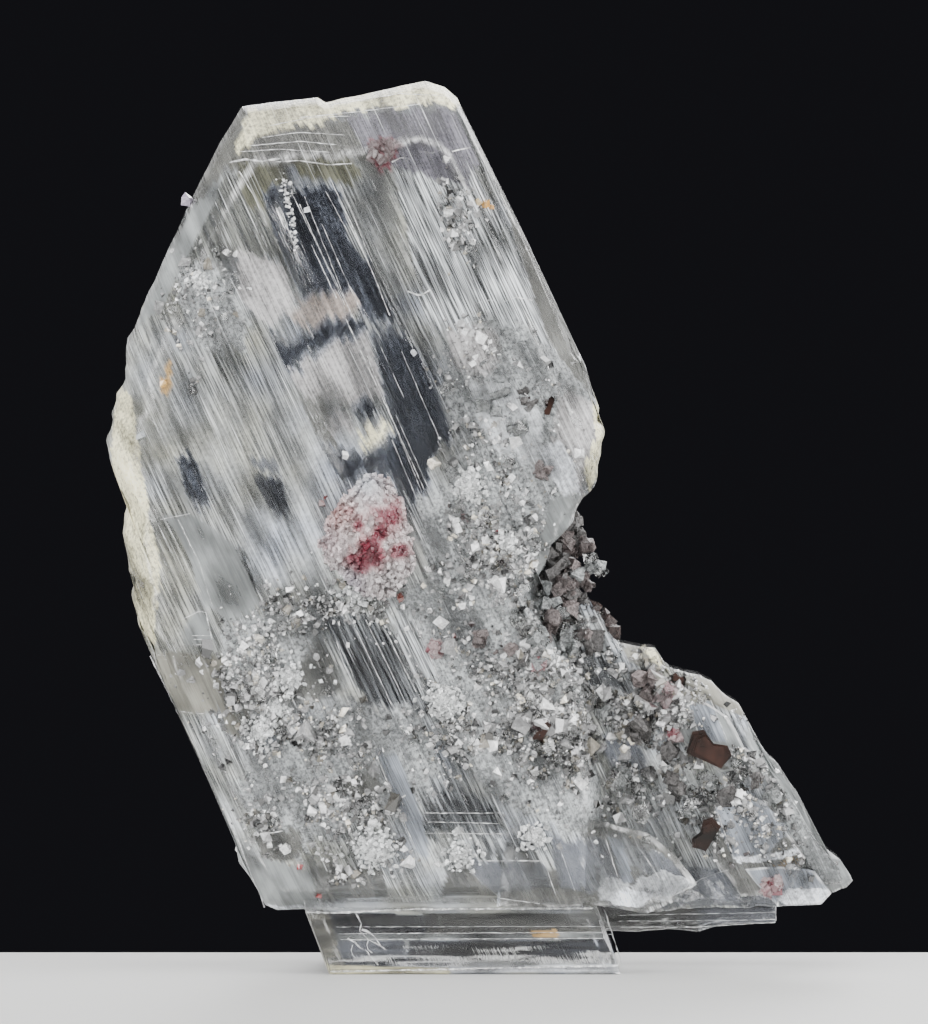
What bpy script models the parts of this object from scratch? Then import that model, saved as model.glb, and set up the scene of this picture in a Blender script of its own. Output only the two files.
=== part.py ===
"""A selenite specimen: clear gypsum blades grown side by side, with sugary small crystals over them.

The gypsum stands on the cleaved end of its foot plate. A red and white lump, small rosy crystals and
brown tablets of other minerals sit in shallow seats in the gypsum. All lengths below are millimetres,
+X is to the right, +Z is up, and the broad front face looks along -Y.
"""

import math
import random

import bmesh
import bpy
from mathutils import Matrix, Vector, noise

MM = 0.001

# Driving sizes of the whole specimen
LEAN_DEG = 65.0
FRONT_FACE = -12.0
BACK_FACE = 11.0
SEAT_GAP = 0.3

# The long axis of the crystals, down and to the right, and the direction across it, up and to the right
LEAN = math.radians(LEAN_DEG)
ALONG = Vector((math.cos(LEAN), 0, -math.sin(LEAN)))
ACROSS = Vector((math.sin(LEAN), 0, math.cos(LEAN)))

# The big blade, seen from the front: (x, z), clockwise from its upper left corner
BIG_BLADE = [
    (-32.3, 116.3), (-22.1, 117.5), (-21.0, 116.8), (-7.6, 119.7), (-4.9, 118.9), (-3.1, 117.2),
    (-1.6, 113.9), (6.4, 97.7), (12.3, 83.5), (13.5, 82.5), (15.7, 77.1), (16.5, 72.8),
    (15.7, 68.8), (14.7, 65.1), (12.7, 62.9), (9.9, 57.3), (7.1, 51.5), (14.2, 39.0),
    (17.0, 22.0), (16.4, 8.8), (-5.6, 8.7), (-27.6, 8.1), (-29.3, 8.8), (-30.9, 12.0),
    (-32.8, 14.4), (-33.3, 17.7), (-38.7, 30.1), (-44.3, 42.4), (-46.0, 47.5), (-47.5, 53.7),
    (-48.4, 60.8), (-47.7, 62.3), (-48.8, 65.3), (-49.6, 70.1), (-49.6, 75.1), (-48.0, 80.0),
    (-47.5, 85.1), (-42.9, 95.5), (-38.9, 104.0), (-35.7, 110.4),
]
BIG_CENTRE = (-14.0, 42.0)
BIG_SHRINK = 0.90
BIG_BACK_SHRINK = 0.89
# Each section of a blade is (depth, scale about its centre); two at one depth make a ledge
BIG_SECTIONS = [
    (FRONT_FACE, BIG_SHRINK), (-7.5, 0.985), (-2.5, 0.985), (-2.5, 1.0), (2.5, 1.0), (2.5, 0.967),
    (7.5, 0.967), (BACK_FACE, BIG_BACK_SHRINK),
]

# The blade behind it, which fans out to the right
FAN_BLADE = [
    (11.5, 63.6), (13.7, 60.8), (13.3, 57.3), (14.6, 54.9), (14.9, 50.0), (16.8, 46.4),
    (18.1, 44.4), (23.5, 43.1), (24.8, 40.5), (29.1, 39.7), (34.4, 36.0), (36.0, 33.1),
    (39.2, 28.4), (42.4, 23.7), (45.7, 17.1), (48.4, 14.9), (49.9, 12.3), (49.1, 11.3),
    (46.7, 10.5), (46.3, 9.3), (40.1, 8.8), (28.0, 8.2), (16.4, 8.8), (4.0, 14.0),
    (0.0, 40.0),
]
FAN_CENTRE = (20.0, 24.0)
FAN_SHRINK = 0.93
FAN_BACK_SHRINK = 0.91
FAN_FRONT, FAN_BACK = -7.5, 8.5
FAN_SECTIONS = [
    (FAN_FRONT, FAN_SHRINK), (-5.0, 1.0), (3.0, 1.0), (6.5, 0.975), (FAN_BACK, FAN_BACK_SHRINK),
]

# The foot plate that the specimen stands on, and the thin shelf beside it
FOOT_PLATE = [(-25.5, 18.0), (-23.6, 8.3), (-20.5, 0.0), (18.7, 0.0), (15.2, 9.7), (12.0, 18.0)]
FOOT_CENTRE = (-2.0, 0.0)
FOOT_SECTIONS = [(-9.5, 0.985), (-9.0, 1.0), (9.5, 1.0), (10.0, 0.985)]
SHELF = [
    (8.0, 15.0), (12.0, 6.0), (17.1, 5.4), (21.1, 5.2), (25.0, 5.7), (29.1, 5.2),
    (33.0, 6.3), (39.5, 6.4), (39.9, 12.0), (29.1, 16.0),
]
SHELF_CENTRE = (24.0, 11.0)
SHELF_SECTIONS = [(-4.5, 0.985), (-4.0, 1.0), (5.0, 1.0), (5.5, 0.985)]

# Plates that stand proud of the right-hand blade: outline and front depth
PLATE_BACK = -4.6
PLATE_BEVEL = 0.8
PLATE_SHRINK = 0.93
FRONT_PLATES = {
    "cracked_plate": (
        [(4.0, 24.0), (14.5, 21.0), (22.0, 19.0), (25.5, 16.5), (28.7, 12.3), (25.5, 9.6),
         (22.0, 8.3), (16.5, 9.2), (2.0, 9.2)], -11.2),
    "window_plate": (
        [(30.5, 22.3), (34.5, 24.8), (38.6, 22.6), (43.6, 15.6), (41.3, 11.0), (34.8, 10.4),
         (31.0, 15.5)], -9.2),
    "corner_plate": (
        [(35.0, 14.2), (40.0, 14.6), (44.6, 13.9), (46.8, 10.9), (45.4, 9.4), (39.6, 9.1)], -9.9),
    "upper_plate": (
        [(22.5, 41.0), (28.5, 37.5), (33.0, 34.5), (36.5, 28.0), (32.0, 27.0), (24.0, 33.5)], -8.9),
    "tip_plate": (
        [(41.0, 24.5), (44.8, 17.8), (48.0, 14.2), (48.4, 12.2), (45.6, 12.0), (40.0, 20.5)], -8.5),
}

# Growth steps on the broad faces: (across from, across to, along from, along to, height)
FRONT_STEPS = [
    (-8.0, 1.5, -83.0, -52.0, 0.9),
    (23.0, 33.0, -104.0, -66.0, 0.7),
    (34.0, 39.5, -99.0, -60.0, 0.9),
    (-17.5, -12.0, -56.0, -26.0, 1.0),
    (-11.0, -5.0, -50.0, -16.0, 0.7),
    (8.0, 14.0, -38.0, -12.0, 1.1),
]
BACK_STEPS = [
    (-13.0, -2.0, -70.0, -32.0, 0.9),
    (4.0, 13.0, -96.0, -42.0, 1.2),
    (20.0, 32.0, -98.0, -50.0, 0.8),
    (-3.5, 10.0, -33.5, -14.0, 0.7),
]
STEP_SUNK = 1.5

# Striations: thin ridges that run along the blade, kept this share of its size inside the face
RIDGE_INSET = 0.03
RIDGES_PER_FACE = 26
RIDGE_HALF_WIDTH = 0.55
RIDGE_TAPER = 0.5
RIDGE_HEIGHT = (0.25, 0.6)
RIDGE_LENGTH = (12.0, 34.0)
RIDGES_ACROSS = (-18.0, 62.0)
RIDGES_ALONG = (-90.0, -35.0)

# Knobs on the dissolved left edge and the right shoulder: (x, z, radius)
EDGE_KNOBS = [
    (-46.6, 73.0, 3.0), (-46.4, 66.8, 2.9), (-45.5, 61.5, 2.8), (-45.2, 57.0, 3.1), (-44.1, 52.2, 3.1),
    (-42.5, 47.7, 2.9), (-40.9, 43.4, 2.6), (-45.5, 79.0, 2.4), (13.5, 73.2, 2.8), (12.9, 68.6, 2.6),
]
KNOB_DEPTH = -4.0
KNOB_STRETCH = (1.0, 1.5, 1.2)
KNOB_CORNERS = 22

# Heaps of white sugary crystals, each a middle one with smaller ones round it: (x, z, radius, depth)
HEAP_RING = 5
HEAP_SUNK = 1.2
HEAP_REACH = 0.65
HEAP_MIDDLE_STRETCH = (0.75, 0.75, 0.75)
HEAP_MIDDLE_CORNERS = 12
HEAP_RING_STRETCH = (0.45, 0.6, 0.45)
SUGAR_HEAPS = [
    (-1.6, 65.6, 3.1, -12.6), (-4.8, 36.9, 3.6, -12.8), (-14.4, 17.1, 4.0, -12.6), (-29.3, 33.0, 3.2, -12.4),
    (-37.6, 92.9, 2.2, -12.0), (3.9, 61.0, 3.0, -12.2), (7.5, 57.5, 2.6, -12.0), (-26.6, 42.0, 3.6, -12.2),
    (5.2, 17.9, 3.0, -12.0), (3.0, 73.0, 3.2, -12.0), (26.2, 24.6, 3.2, -8.4), (33.6, 27.4, 2.6, -7.8),
    (17.2, 43.0, 3.4, -6.4), (15.8, 51.6, 3.0, -4.6), (27.8, 33.6, 3.2, -7.6),
]

# Blocky crystals that stand up along the notch between the two blades: (x, z, size, depth)
BLOCK_STRETCH = (1.0, 1.1, 1.0)
NOTCH_BLOCKS = [
    (13.2, 57.6, 2.6, -3.0), (14.6, 53.6, 2.8, -1.0), (14.8, 48.6, 2.9, -3.2), (16.9, 45.2, 3.4, 0.8),
    (20.2, 43.0, 2.6, -2.0), (26.8, 39.6, 2.2, 1.0), (11.8, 50.0, 3.4, 1.5), (12.6, 55.0, 3.0, 3.0),
]

# Small crystals strewn over the faces: (x, z, half width, half height, depth, how many)
GRAIN_FIELDS = [
    (-22.0, 45.0, 11.0, 8.0, FRONT_FACE, 18),
    (2.0, 58.0, 8.0, 12.0, FRONT_FACE, 22),
    (-12.0, 28.0, 15.0, 9.0, FRONT_FACE, 26),
    (4.0, 36.0, 9.0, 10.0, FRONT_FACE, 20),
    (24.0, 27.0, 10.0, 8.0, FAN_FRONT, 16),
    (36.0, 20.0, 6.0, 8.0, FAN_FRONT, 8),
    (-12.0, 60.0, 22.0, 30.0, BACK_FACE, 16),
    (22.0, 26.0, 10.0, 8.0, FAN_BACK, 10),
]
GRAIN_RADIUS = (0.8, 1.9)
GRAIN_CORNERS = 9
GRAIN_INSET = 0.04

# The red and white lump: middle, and half its width, depth and height
LUMP_MIDDLE = (-15.3, FRONT_FACE - 1.0, 58.6)
LUMP_HALF = (6.2, 4.2, 8.2)
LUMP_ROUGHNESS = 0.22
LUMP_CLEARANCE = 1.2

# Rosy crystals: (x, depth, z, radius)
ROSY_STRETCH = (1.0, 0.8, 1.15)
ROSY_SEAT_GROWTH = 1.08
ROSY_CRYSTALS = [
    (38.8, -9.6, 12.0, 2.1), (-6.2, -12.2, 43.8, 1.5), (7.6, -12.2, 41.6, 1.4), (24.6, -8.2, 37.2, 2.2),
    (25.8, -8.6, 32.2, 1.4), (-13.6, -11.9, 110.0, 2.0),
]

# Brown tablets: (x, depth, z, width, thickness, height, roll about the view, tip)
TABLET_SEAT_MARGIN = 3 * SEAT_GAP
BROWN_TABLETS = [
    (30.6, -9.6, 30.2, 6.2, 1.0, 4.4, 28.0, 14.0),
    (30.0, -9.8, 18.6, 4.6, 0.9, 3.0, -58.0, -12.0),
    (8.2, -12.3, 32.9, 3.4, 0.9, 1.9, -55.0, 8.0),
    (9.0, -12.2, 76.2, 3.2, 0.9, 1.2, -70.0, 10.0),
    (26.3, -8.2, 39.6, 2.0, 0.9, 1.4, 20.0, 0.0),
]

SEED = 11


def clear_scene():
    for obj in list(bpy.data.objects):
        bpy.data.objects.remove(obj, do_unlink=True)


def material(name, colour, roughness, transmission=0.0):
    made = bpy.data.materials.new(name)
    made.use_nodes = True
    shader = made.node_tree.nodes["Principled BSDF"]
    shader.inputs["Base Color"].default_value = (*colour, 1)
    shader.inputs["Roughness"].default_value = roughness
    shader.inputs["Metallic"].default_value = 0.0
    shader.inputs["IOR"].default_value = 1.52
    shader.inputs["Transmission Weight"].default_value = transmission
    return made


def new_collection(name):
    made = bpy.data.collections.new(name)
    bpy.context.scene.collection.children.link(made)
    return made


def add_object(name, mesh, collection):
    """The bmesh, given in millimetres, as a new object in metres."""
    bmesh.ops.transform(mesh, matrix=Matrix.Scale(MM, 4), verts=mesh.verts)
    bmesh.ops.recalc_face_normals(mesh, faces=mesh.faces)
    data = bpy.data.meshes.new(name)
    mesh.to_mesh(data)
    mesh.free()
    obj = bpy.data.objects.new(name, data)
    collection.objects.link(obj)
    return obj


def hide_helper(obj):
    obj.hide_render = True
    obj.display_type = "WIRE"


def loft_blade(name, outline, centre, sections, collection):
    """A blade lofted from front to back through copies of one outline, each scaled about the centre.

    The first and last are its broad faces. A smaller scale there leaves sloping faces all round.
    """
    mesh = bmesh.new()
    middle = Vector((centre[0], 0, centre[1]))
    rings = []
    for depth, scale in sections:
        ring = []
        for x, z in outline:
            point = middle + (Vector((x, 0, z)) - middle) * scale
            ring.append(mesh.verts.new((point.x, depth, point.z)))
        rings.append(ring)
    mesh.faces.new(rings[0])
    mesh.faces.new(rings[-1])
    for near, far in zip(rings, rings[1:]):
        for i in range(len(outline)):
            j = (i + 1) % len(outline)
            mesh.faces.new((near[i], near[j], far[j], far[i]))
    return add_object(name, mesh, collection)


def lean_point(across, along, depth):
    return ACROSS * across + ALONG * along + Vector((0, depth, 0))


def growth_step(name, across, along, height, face, outwards, collection):
    """A low plate on a broad face, its sides parallel to the long axis of the crystal."""
    mesh = bmesh.new()
    bmesh.ops.create_cube(mesh, size=1.0)
    size = (across[1] - across[0], height + STEP_SUNK, along[1] - along[0])
    middle = lean_point(sum(across) / 2, sum(along) / 2, face + outwards * (height - STEP_SUNK) / 2)
    turn = Matrix((ACROSS, Vector((0, 1, 0)), ALONG)).transposed().to_4x4()
    bmesh.ops.transform(
        mesh, matrix=Matrix.Translation(middle) @ turn @ Matrix.Diagonal((*size, 1)), verts=mesh.verts
    )
    return add_object(name, mesh, collection)


def ridge(name, across, along, height, face, outwards, collection):
    """A striation: a four-sided bar along the crystal, half sunk in the face and narrower at one end."""
    mesh = bmesh.new()
    bmesh.ops.create_cone(
        mesh, cap_ends=True, segments=4, radius1=RIDGE_HALF_WIDTH,
        radius2=RIDGE_HALF_WIDTH * RIDGE_TAPER, depth=along[1] - along[0],
    )
    turn = Matrix((ACROSS, Vector((0, 1, 0)), ALONG)).transposed().to_4x4()
    sink = Matrix.Diagonal((1, 2 * height / RIDGE_HALF_WIDTH, 1, 1))
    middle = lean_point(across, sum(along) / 2, face - outwards * height)
    bmesh.ops.transform(mesh, matrix=Matrix.Translation(middle) @ turn @ sink, verts=mesh.verts)
    return add_object(name, mesh, collection)


def grain(name, middle, radius, stretch, corners, dice, collection):
    """A small blocky crystal: the convex hull of corners scattered over a stretched, turned sphere."""
    radii = [radius * share for share in stretch]
    mesh = bmesh.new()
    golden = math.pi * (3 - math.sqrt(5))
    turn = Matrix.Rotation(dice.uniform(0, math.tau), 3, Vector([dice.gauss(0, 1) for _ in range(3)]))
    for i in range(corners):
        height = 1 - 2 * (i + 0.5) / corners
        spread = math.sqrt(1 - height * height)
        corner = Vector((spread * math.cos(golden * i), spread * math.sin(golden * i), height))
        corner = turn @ (corner * dice.uniform(0.8, 1.1))
        mesh.verts.new(Vector(middle) + Vector(a * b for a, b in zip(corner, radii)))
    bmesh.ops.convex_hull(mesh, input=mesh.verts)
    return add_object(name, mesh, collection)


def tablet_matrix(x, depth, z, roll, tip):
    return (
        Matrix.Translation((x, depth, z))
        @ Matrix.Rotation(math.radians(roll), 4, "Y")
        @ Matrix.Rotation(math.radians(tip), 4, "X")
    )


def plate_sections(front):
    return [(front, PLATE_SHRINK), (front + PLATE_BEVEL, 1), (PLATE_BACK, 1)]


def blades(collection):
    big = loft_blade("big_blade", BIG_BLADE, BIG_CENTRE, BIG_SECTIONS, collection)
    loft_blade("fan_blade", FAN_BLADE, FAN_CENTRE, FAN_SECTIONS, collection)
    loft_blade("foot_plate", FOOT_PLATE, FOOT_CENTRE, FOOT_SECTIONS, collection)
    loft_blade("shelf", SHELF, SHELF_CENTRE, SHELF_SECTIONS, collection)
    for name, (outline, front) in FRONT_PLATES.items():
        count = len(outline)
        centre = (sum(x for x, _ in outline) / count, sum(z for _, z in outline) / count)
        loft_blade(name, outline, centre, plate_sections(front), collection)
    return big


def on_face(x, z, outline, centre, shrink):
    """True if the point lies on a blade's flat face: inside the outline, drawn in towards the centre."""
    x, z = (c + (a - c) / shrink for a, c in zip((x, z), centre))
    inside = False
    for (x0, z0), (x1, z1) in zip(outline, outline[1:] + outline[:1]):
        if (z0 > z) != (z1 > z) and x < x0 + (z - z0) / (z1 - z0) * (x1 - x0):
            inside = not inside
    return inside


def steps_and_ridges(collection, dice):
    for face, outwards, steps in ((FRONT_FACE, -1, FRONT_STEPS), (BACK_FACE, 1, BACK_STEPS)):
        for i, (left, right, top, bottom, height) in enumerate(steps):
            name = f"step_{outwards}_{i}"
            growth_step(name, (left, right), (top, bottom), height, face, outwards, collection)
        for i in range(RIDGES_PER_FACE):
            across = RIDGES_ACROSS[0] + RIDGES_ACROSS[1] * (i + dice.uniform(0.2, 0.8)) / RIDGES_PER_FACE
            length = dice.uniform(*RIDGE_LENGTH)
            top = dice.uniform(*RIDGES_ALONG) - length / 2
            height = dice.uniform(*RIDGE_HEIGHT)
            along = (top, top + length)
            ends = [lean_point(across, place, 0) for place in along]
            if all(on_face(end.x, end.z, BIG_BLADE, BIG_CENTRE, BIG_SHRINK - RIDGE_INSET) for end in ends):
                ridge(f"ridge_{outwards}_{i}", across, along, height, face, outwards, collection)


def sugar_heap(name, x, z, radius, depth, collection, dice):
    middle = Vector((x, depth + HEAP_SUNK, z))
    grain(name, middle, radius, HEAP_MIDDLE_STRETCH, HEAP_MIDDLE_CORNERS, dice, collection)
    for i in range(HEAP_RING):
        angle = math.tau * (i + dice.random()) / HEAP_RING
        place = middle + Vector((math.cos(angle), 0, math.sin(angle))) * radius * HEAP_REACH
        grain(f"{name}_{i}", place, radius, HEAP_RING_STRETCH, GRAIN_CORNERS, dice, collection)


def knobs_and_heaps(collection, dice):
    for i, (x, z, radius) in enumerate(EDGE_KNOBS):
        grain(f"knob_{i}", (x, KNOB_DEPTH, z), radius, KNOB_STRETCH, KNOB_CORNERS, dice, collection)
    for i, (x, z, radius, depth) in enumerate(SUGAR_HEAPS):
        sugar_heap(f"heap_{i}", x, z, radius, depth, collection, dice)
    for i, (x, z, size, depth) in enumerate(NOTCH_BLOCKS):
        grain(f"block_{i}", (x, depth, z), size, BLOCK_STRETCH, GRAIN_CORNERS, dice, collection)


def near_other_mineral(x, z, depth, margin):
    """True where one of the other minerals sits, so that no grain grows into its seat."""
    if depth > 0:
        return False
    aside = ((x - LUMP_MIDDLE[0]) / LUMP_HALF[0], (z - LUMP_MIDDLE[2]) / LUMP_HALF[2])
    if math.hypot(*aside) < LUMP_CLEARANCE:
        return True
    seats = [(a, c, r) for a, _, c, r in ROSY_CRYSTALS] + [(t[0], t[2], t[3] / 2) for t in BROWN_TABLETS]
    return any(math.hypot(x - a, z - c) < r + margin for a, c, r in seats)


def strewn_grains(collection, dice):
    made = 0
    big = (BIG_BLADE, BIG_CENTRE, BIG_SHRINK - GRAIN_INSET)
    fan = (FAN_BLADE, FAN_CENTRE, FAN_SHRINK - GRAIN_INSET)
    for x, z, wide, high, depth, count in GRAIN_FIELDS:
        blade = big if depth in (FRONT_FACE, BACK_FACE) else fan
        for _ in range(count):
            radius = dice.uniform(*GRAIN_RADIUS)
            spread, angle = math.sqrt(dice.random()), dice.uniform(0, math.tau)
            here = (x + wide * spread * math.cos(angle), z + high * spread * math.sin(angle))
            if near_other_mineral(*here, depth, radius) or not on_face(*here, *blade):
                continue
            place = (here[0], depth, here[1])
            grain(f"grain_{made}", place, radius, (1, 1, 1), GRAIN_CORNERS, dice, collection)
            made += 1


def lump_mesh(grow):
    """The red and white lump: a sphere pushed in and out by noise into small knobs.

    For its seat it is wider by grow all round.
    """
    mesh = bmesh.new()
    bmesh.ops.create_icosphere(mesh, subdivisions=3, radius=1.0)
    for vert in mesh.verts:
        out = vert.co.normalized()
        knobs = noise.noise(out * 1.7) + 0.5 * noise.noise(out * 4.1) + 0.35 * noise.cell(out * 3.0)
        size = 1 + LUMP_ROUGHNESS * (knobs - 0.25)
        vert.co = Vector(a * (b * size + grow) for a, b in zip(out, LUMP_HALF))
    bmesh.ops.translate(mesh, verts=mesh.verts, vec=LUMP_MIDDLE)
    return mesh


def rosy_mesh(x, depth, z, radius):
    mesh = bmesh.new()
    bmesh.ops.create_icosphere(mesh, subdivisions=1, radius=radius)
    bmesh.ops.scale(mesh, verts=mesh.verts, vec=ROSY_STRETCH)
    bmesh.ops.translate(mesh, verts=mesh.verts, vec=(x, depth, z))
    return mesh


def tablet_mesh(x, depth, z, width, thick, high, roll, tip):
    """A thin tablet with its corners cut off, as a stretched six-sided prism."""
    mesh = bmesh.new()
    bmesh.ops.create_cone(mesh, cap_ends=True, segments=6, radius1=0.5, radius2=0.5, depth=1.0)
    lie = Matrix.Rotation(math.radians(90), 4, "X")
    size = Matrix.Diagonal((width, thick, high / math.cos(math.radians(30)), 1))
    bmesh.ops.transform(mesh, matrix=tablet_matrix(x, depth, z, roll, tip) @ size @ lie, verts=mesh.verts)
    return mesh


def other_minerals(parts, cutters, lump_look, rosy_look, brown_look):
    """Each piece of another mineral as a part, and the seat that it leaves in the gypsum as a cutter."""
    seats = []

    def piece(name, mesh, seat, look):
        part = add_object(name, mesh, parts)
        part.data.materials.append(look)
        seats.append(add_object(name + "_seat", seat, cutters))

    piece("red_white_lump", lump_mesh(0.0), lump_mesh(SEAT_GAP), lump_look)
    for i, (x, depth, z, radius) in enumerate(ROSY_CRYSTALS, 1):
        seat = rosy_mesh(x, depth, z, radius * ROSY_SEAT_GROWTH + SEAT_GAP)
        piece(f"rosy_crystal_{i}", rosy_mesh(x, depth, z, radius), seat, rosy_look)
    for i, (x, depth, z, width, thick, high, roll, tip) in enumerate(BROWN_TABLETS, 1):
        wide = [side + TABLET_SEAT_MARGIN for side in (width, thick, high)]
        seat = tablet_mesh(x, depth, z, *wide, roll, tip)
        tablet = tablet_mesh(x, depth, z, width, thick, high, roll, tip)
        piece(f"brown_tablet_{i}", tablet, seat, brown_look)
    for seat in seats:
        hide_helper(seat)


def boolean(obj, name, operation, collection):
    modifier = obj.modifiers.new(name, "BOOLEAN")
    modifier.operation = operation
    modifier.operand_type = "COLLECTION"
    modifier.collection = collection
    modifier.solver = "EXACT"


def build():
    clear_scene()
    dice = random.Random(SEED)
    parts = new_collection("gypsum_specimen")
    grown_on = new_collection("grown_on")
    seats = new_collection("seats")
    gypsum_look = material("clear_gypsum", (0.9, 0.91, 0.9), 0.12, 1.0)
    lump_look = material("red_white_stone", (0.72, 0.42, 0.42), 0.5)
    rosy_look = material("rosy_stone", (0.68, 0.42, 0.42), 0.35)
    brown_look = material("brown_stone", (0.16, 0.08, 0.05), 0.4)

    gypsum = blades(grown_on)
    steps_and_ridges(grown_on, dice)
    knobs_and_heaps(grown_on, dice)
    strewn_grains(grown_on, dice)
    grown_on.objects.unlink(gypsum)
    for helper in grown_on.objects:
        hide_helper(helper)
    other_minerals(parts, seats, lump_look, rosy_look, brown_look)

    gypsum.name = "gypsum_crystals"
    gypsum.data.materials.append(gypsum_look)
    parts.objects.link(gypsum)
    boolean(gypsum, "grow_together", "UNION", grown_on)
    boolean(gypsum, "cut_seats", "DIFFERENCE", seats)


build()
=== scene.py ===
"""A clear gypsum specimen: striated blades, frosted skins, sugary small crystals and other minerals."""

import math

import bpy
import numpy as np
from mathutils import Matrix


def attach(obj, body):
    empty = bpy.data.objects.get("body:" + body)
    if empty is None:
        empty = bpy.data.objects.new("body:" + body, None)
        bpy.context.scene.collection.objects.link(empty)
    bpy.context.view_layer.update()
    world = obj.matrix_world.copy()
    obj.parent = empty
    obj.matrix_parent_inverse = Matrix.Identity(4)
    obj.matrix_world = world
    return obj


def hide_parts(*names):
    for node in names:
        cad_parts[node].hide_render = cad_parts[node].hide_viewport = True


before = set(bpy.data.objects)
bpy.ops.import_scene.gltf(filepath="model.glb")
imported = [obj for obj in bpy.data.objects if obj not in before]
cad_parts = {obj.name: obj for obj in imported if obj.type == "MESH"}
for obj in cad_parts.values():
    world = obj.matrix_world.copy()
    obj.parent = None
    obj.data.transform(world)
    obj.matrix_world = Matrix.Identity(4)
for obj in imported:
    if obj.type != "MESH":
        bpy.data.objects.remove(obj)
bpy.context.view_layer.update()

# Camera at the photograph's viewing angle: level with the specimen, a little above it
MM = 0.001
AIM = (-2.4 * MM, -12.0 * MM, 62.1 * MM)
VIEW_DISTANCE = 0.9
VIEW_ELEVATION = math.radians(2.0)
FRAMED_HEIGHT = 136.5 * MM
SENSOR = 36.0

camera_data = bpy.data.cameras.new("camera")
camera_data.sensor_width = SENSOR
camera_data.lens = SENSOR * VIEW_DISTANCE / FRAMED_HEIGHT
camera_data.clip_start = 0.01
camera = bpy.data.objects.new("camera", camera_data)
camera.location = (
    AIM[0],
    AIM[1] - VIEW_DISTANCE * math.cos(VIEW_ELEVATION),
    AIM[2] + VIEW_DISTANCE * math.sin(VIEW_ELEVATION),
)
camera.rotation_euler = (math.pi / 2 - VIEW_ELEVATION, 0, 0)
bpy.context.scene.collection.objects.link(camera)
bpy.context.scene.camera = camera

# Soft studio light: large panels above, at both sides and in front, in a dark room
world = bpy.data.worlds.new("dark_room")
world.use_nodes = True
world.node_tree.nodes["Background"].inputs["Color"].default_value = (0.008, 0.008, 0.01, 1)
bpy.context.scene.world = world


def soft_panel(name, place, aim, size, power):
    """A rectangular light at place, turned to aim, both in metres. The camera doesn't see it directly."""
    data = bpy.data.lights.new(name, "AREA")
    data.shape = "RECTANGLE"
    data.size, data.size_y = size
    data.energy = power
    panel = bpy.data.objects.new(name, data)
    panel.location = place
    reach = [a - b for a, b in zip(aim, place)]
    heading = math.atan2(reach[1], reach[0])
    dip = math.atan2(-reach[2], math.hypot(reach[0], reach[1]))
    panel.rotation_euler = (math.pi / 2 - dip, 0, heading - math.pi / 2)
    panel.visible_camera = False
    bpy.context.scene.collection.objects.link(panel)
    return panel


MIDDLE = (0.0, 0.0, 0.06)
soft_panel("light_left", (-0.55, -0.28, 0.16), MIDDLE, (0.5, 0.5), 5.8)
soft_panel("light_right", (0.5, -0.12, 0.16), MIDDLE, (0.45, 0.5), 5.8)
soft_panel("light_top", (0.02, -0.12, 0.66), MIDDLE, (0.95, 0.75), 7.4)
soft_panel("light_front", (-0.1, -0.75, 0.5), MIDDLE, (0.5, 0.3), 2.4)
soft_panel("light_back", (0.15, 0.65, 0.4), MIDDLE, (0.6, 0.4), 5.0).visible_transmission = False

# Plain pale floor: a matt table top that ends just behind the specimen
TABLE_SIDE, TABLE_NEAR, TABLE_FAR, TABLE_THICK = 0.45, -0.6, 0.02, 0.02
table_mesh = bpy.data.meshes.new("floor")
across, deep = np.meshgrid([-TABLE_SIDE, TABLE_SIDE], [TABLE_NEAR, TABLE_FAR], indexing="ij")
level = np.repeat([0.0, -TABLE_THICK], 4)
corners = np.column_stack((np.tile(across.ravel(), 2), np.tile(deep.ravel(), 2), level))
table_mesh.from_pydata(
    corners.tolist(), [],
    [(0, 2, 3, 1), (4, 5, 7, 6), (0, 1, 5, 4), (1, 3, 7, 5), (3, 2, 6, 7), (2, 0, 4, 6)],
)


def new_material(name):
    """A new material, its node tree and its shader."""
    made = bpy.data.materials.new(name)
    made.use_nodes = True
    return made, made.node_tree, made.node_tree.nodes["Principled BSDF"]


table_paint, _, shader = new_material("pale_floor")
shader.inputs["Base Color"].default_value = (0.62, 0.62, 0.61, 1)
shader.inputs["Roughness"].default_value = 0.55
table_mesh.materials.append(table_paint)
table = bpy.data.objects.new("floor", table_mesh)
bpy.context.scene.collection.objects.link(table)

# The gypsum body: clear blades with their long axis leaning 65 degrees, grown side by side into one piece.
# Each blade is a front and a back surface over columns that run along the crystal. The striations, the
# growth steps and the sloping edge faces are in the mesh, and the frosting is in the material.
LEAN = math.radians(65.0)
ACROSS = np.array([math.sin(LEAN), math.cos(LEAN)])
ALONG = np.array([math.cos(LEAN), -math.sin(LEAN)])

BIG_OUTLINE = np.array([
    (-32.3, 116.3), (-22.1, 117.5), (-21.0, 116.8), (-7.6, 119.7), (-4.9, 118.9), (-3.1, 117.2),
    (-1.6, 113.9), (6.4, 97.7), (12.3, 83.5), (13.5, 82.5), (15.7, 77.1), (16.5, 72.8), (15.7, 68.8),
    (14.7, 65.1), (12.7, 62.9), (9.9, 57.3), (7.1, 51.5), (14.2, 39.0), (17.0, 22.0), (16.4, 8.8),
    (-5.6, 8.7), (-27.6, 8.1), (-29.3, 8.8), (-30.9, 12.0), (-32.8, 14.4), (-33.3, 17.7), (-38.7, 30.1),
    (-44.3, 42.4), (-46.0, 47.5), (-47.5, 53.7), (-48.4, 60.8), (-47.7, 62.3), (-48.8, 65.3),
    (-49.6, 70.1), (-49.6, 75.1), (-48.0, 80.0), (-47.5, 85.1), (-42.9, 95.5), (-38.9, 104.0),
    (-35.7, 110.4),
])
BIG_CENTRE = np.array([-14.0, 42.0])
BIG_FRONT = ((0.0, 0.9, 0.985, 1.0), (-12.0, -12.0, -7.0, -2.5))
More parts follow.
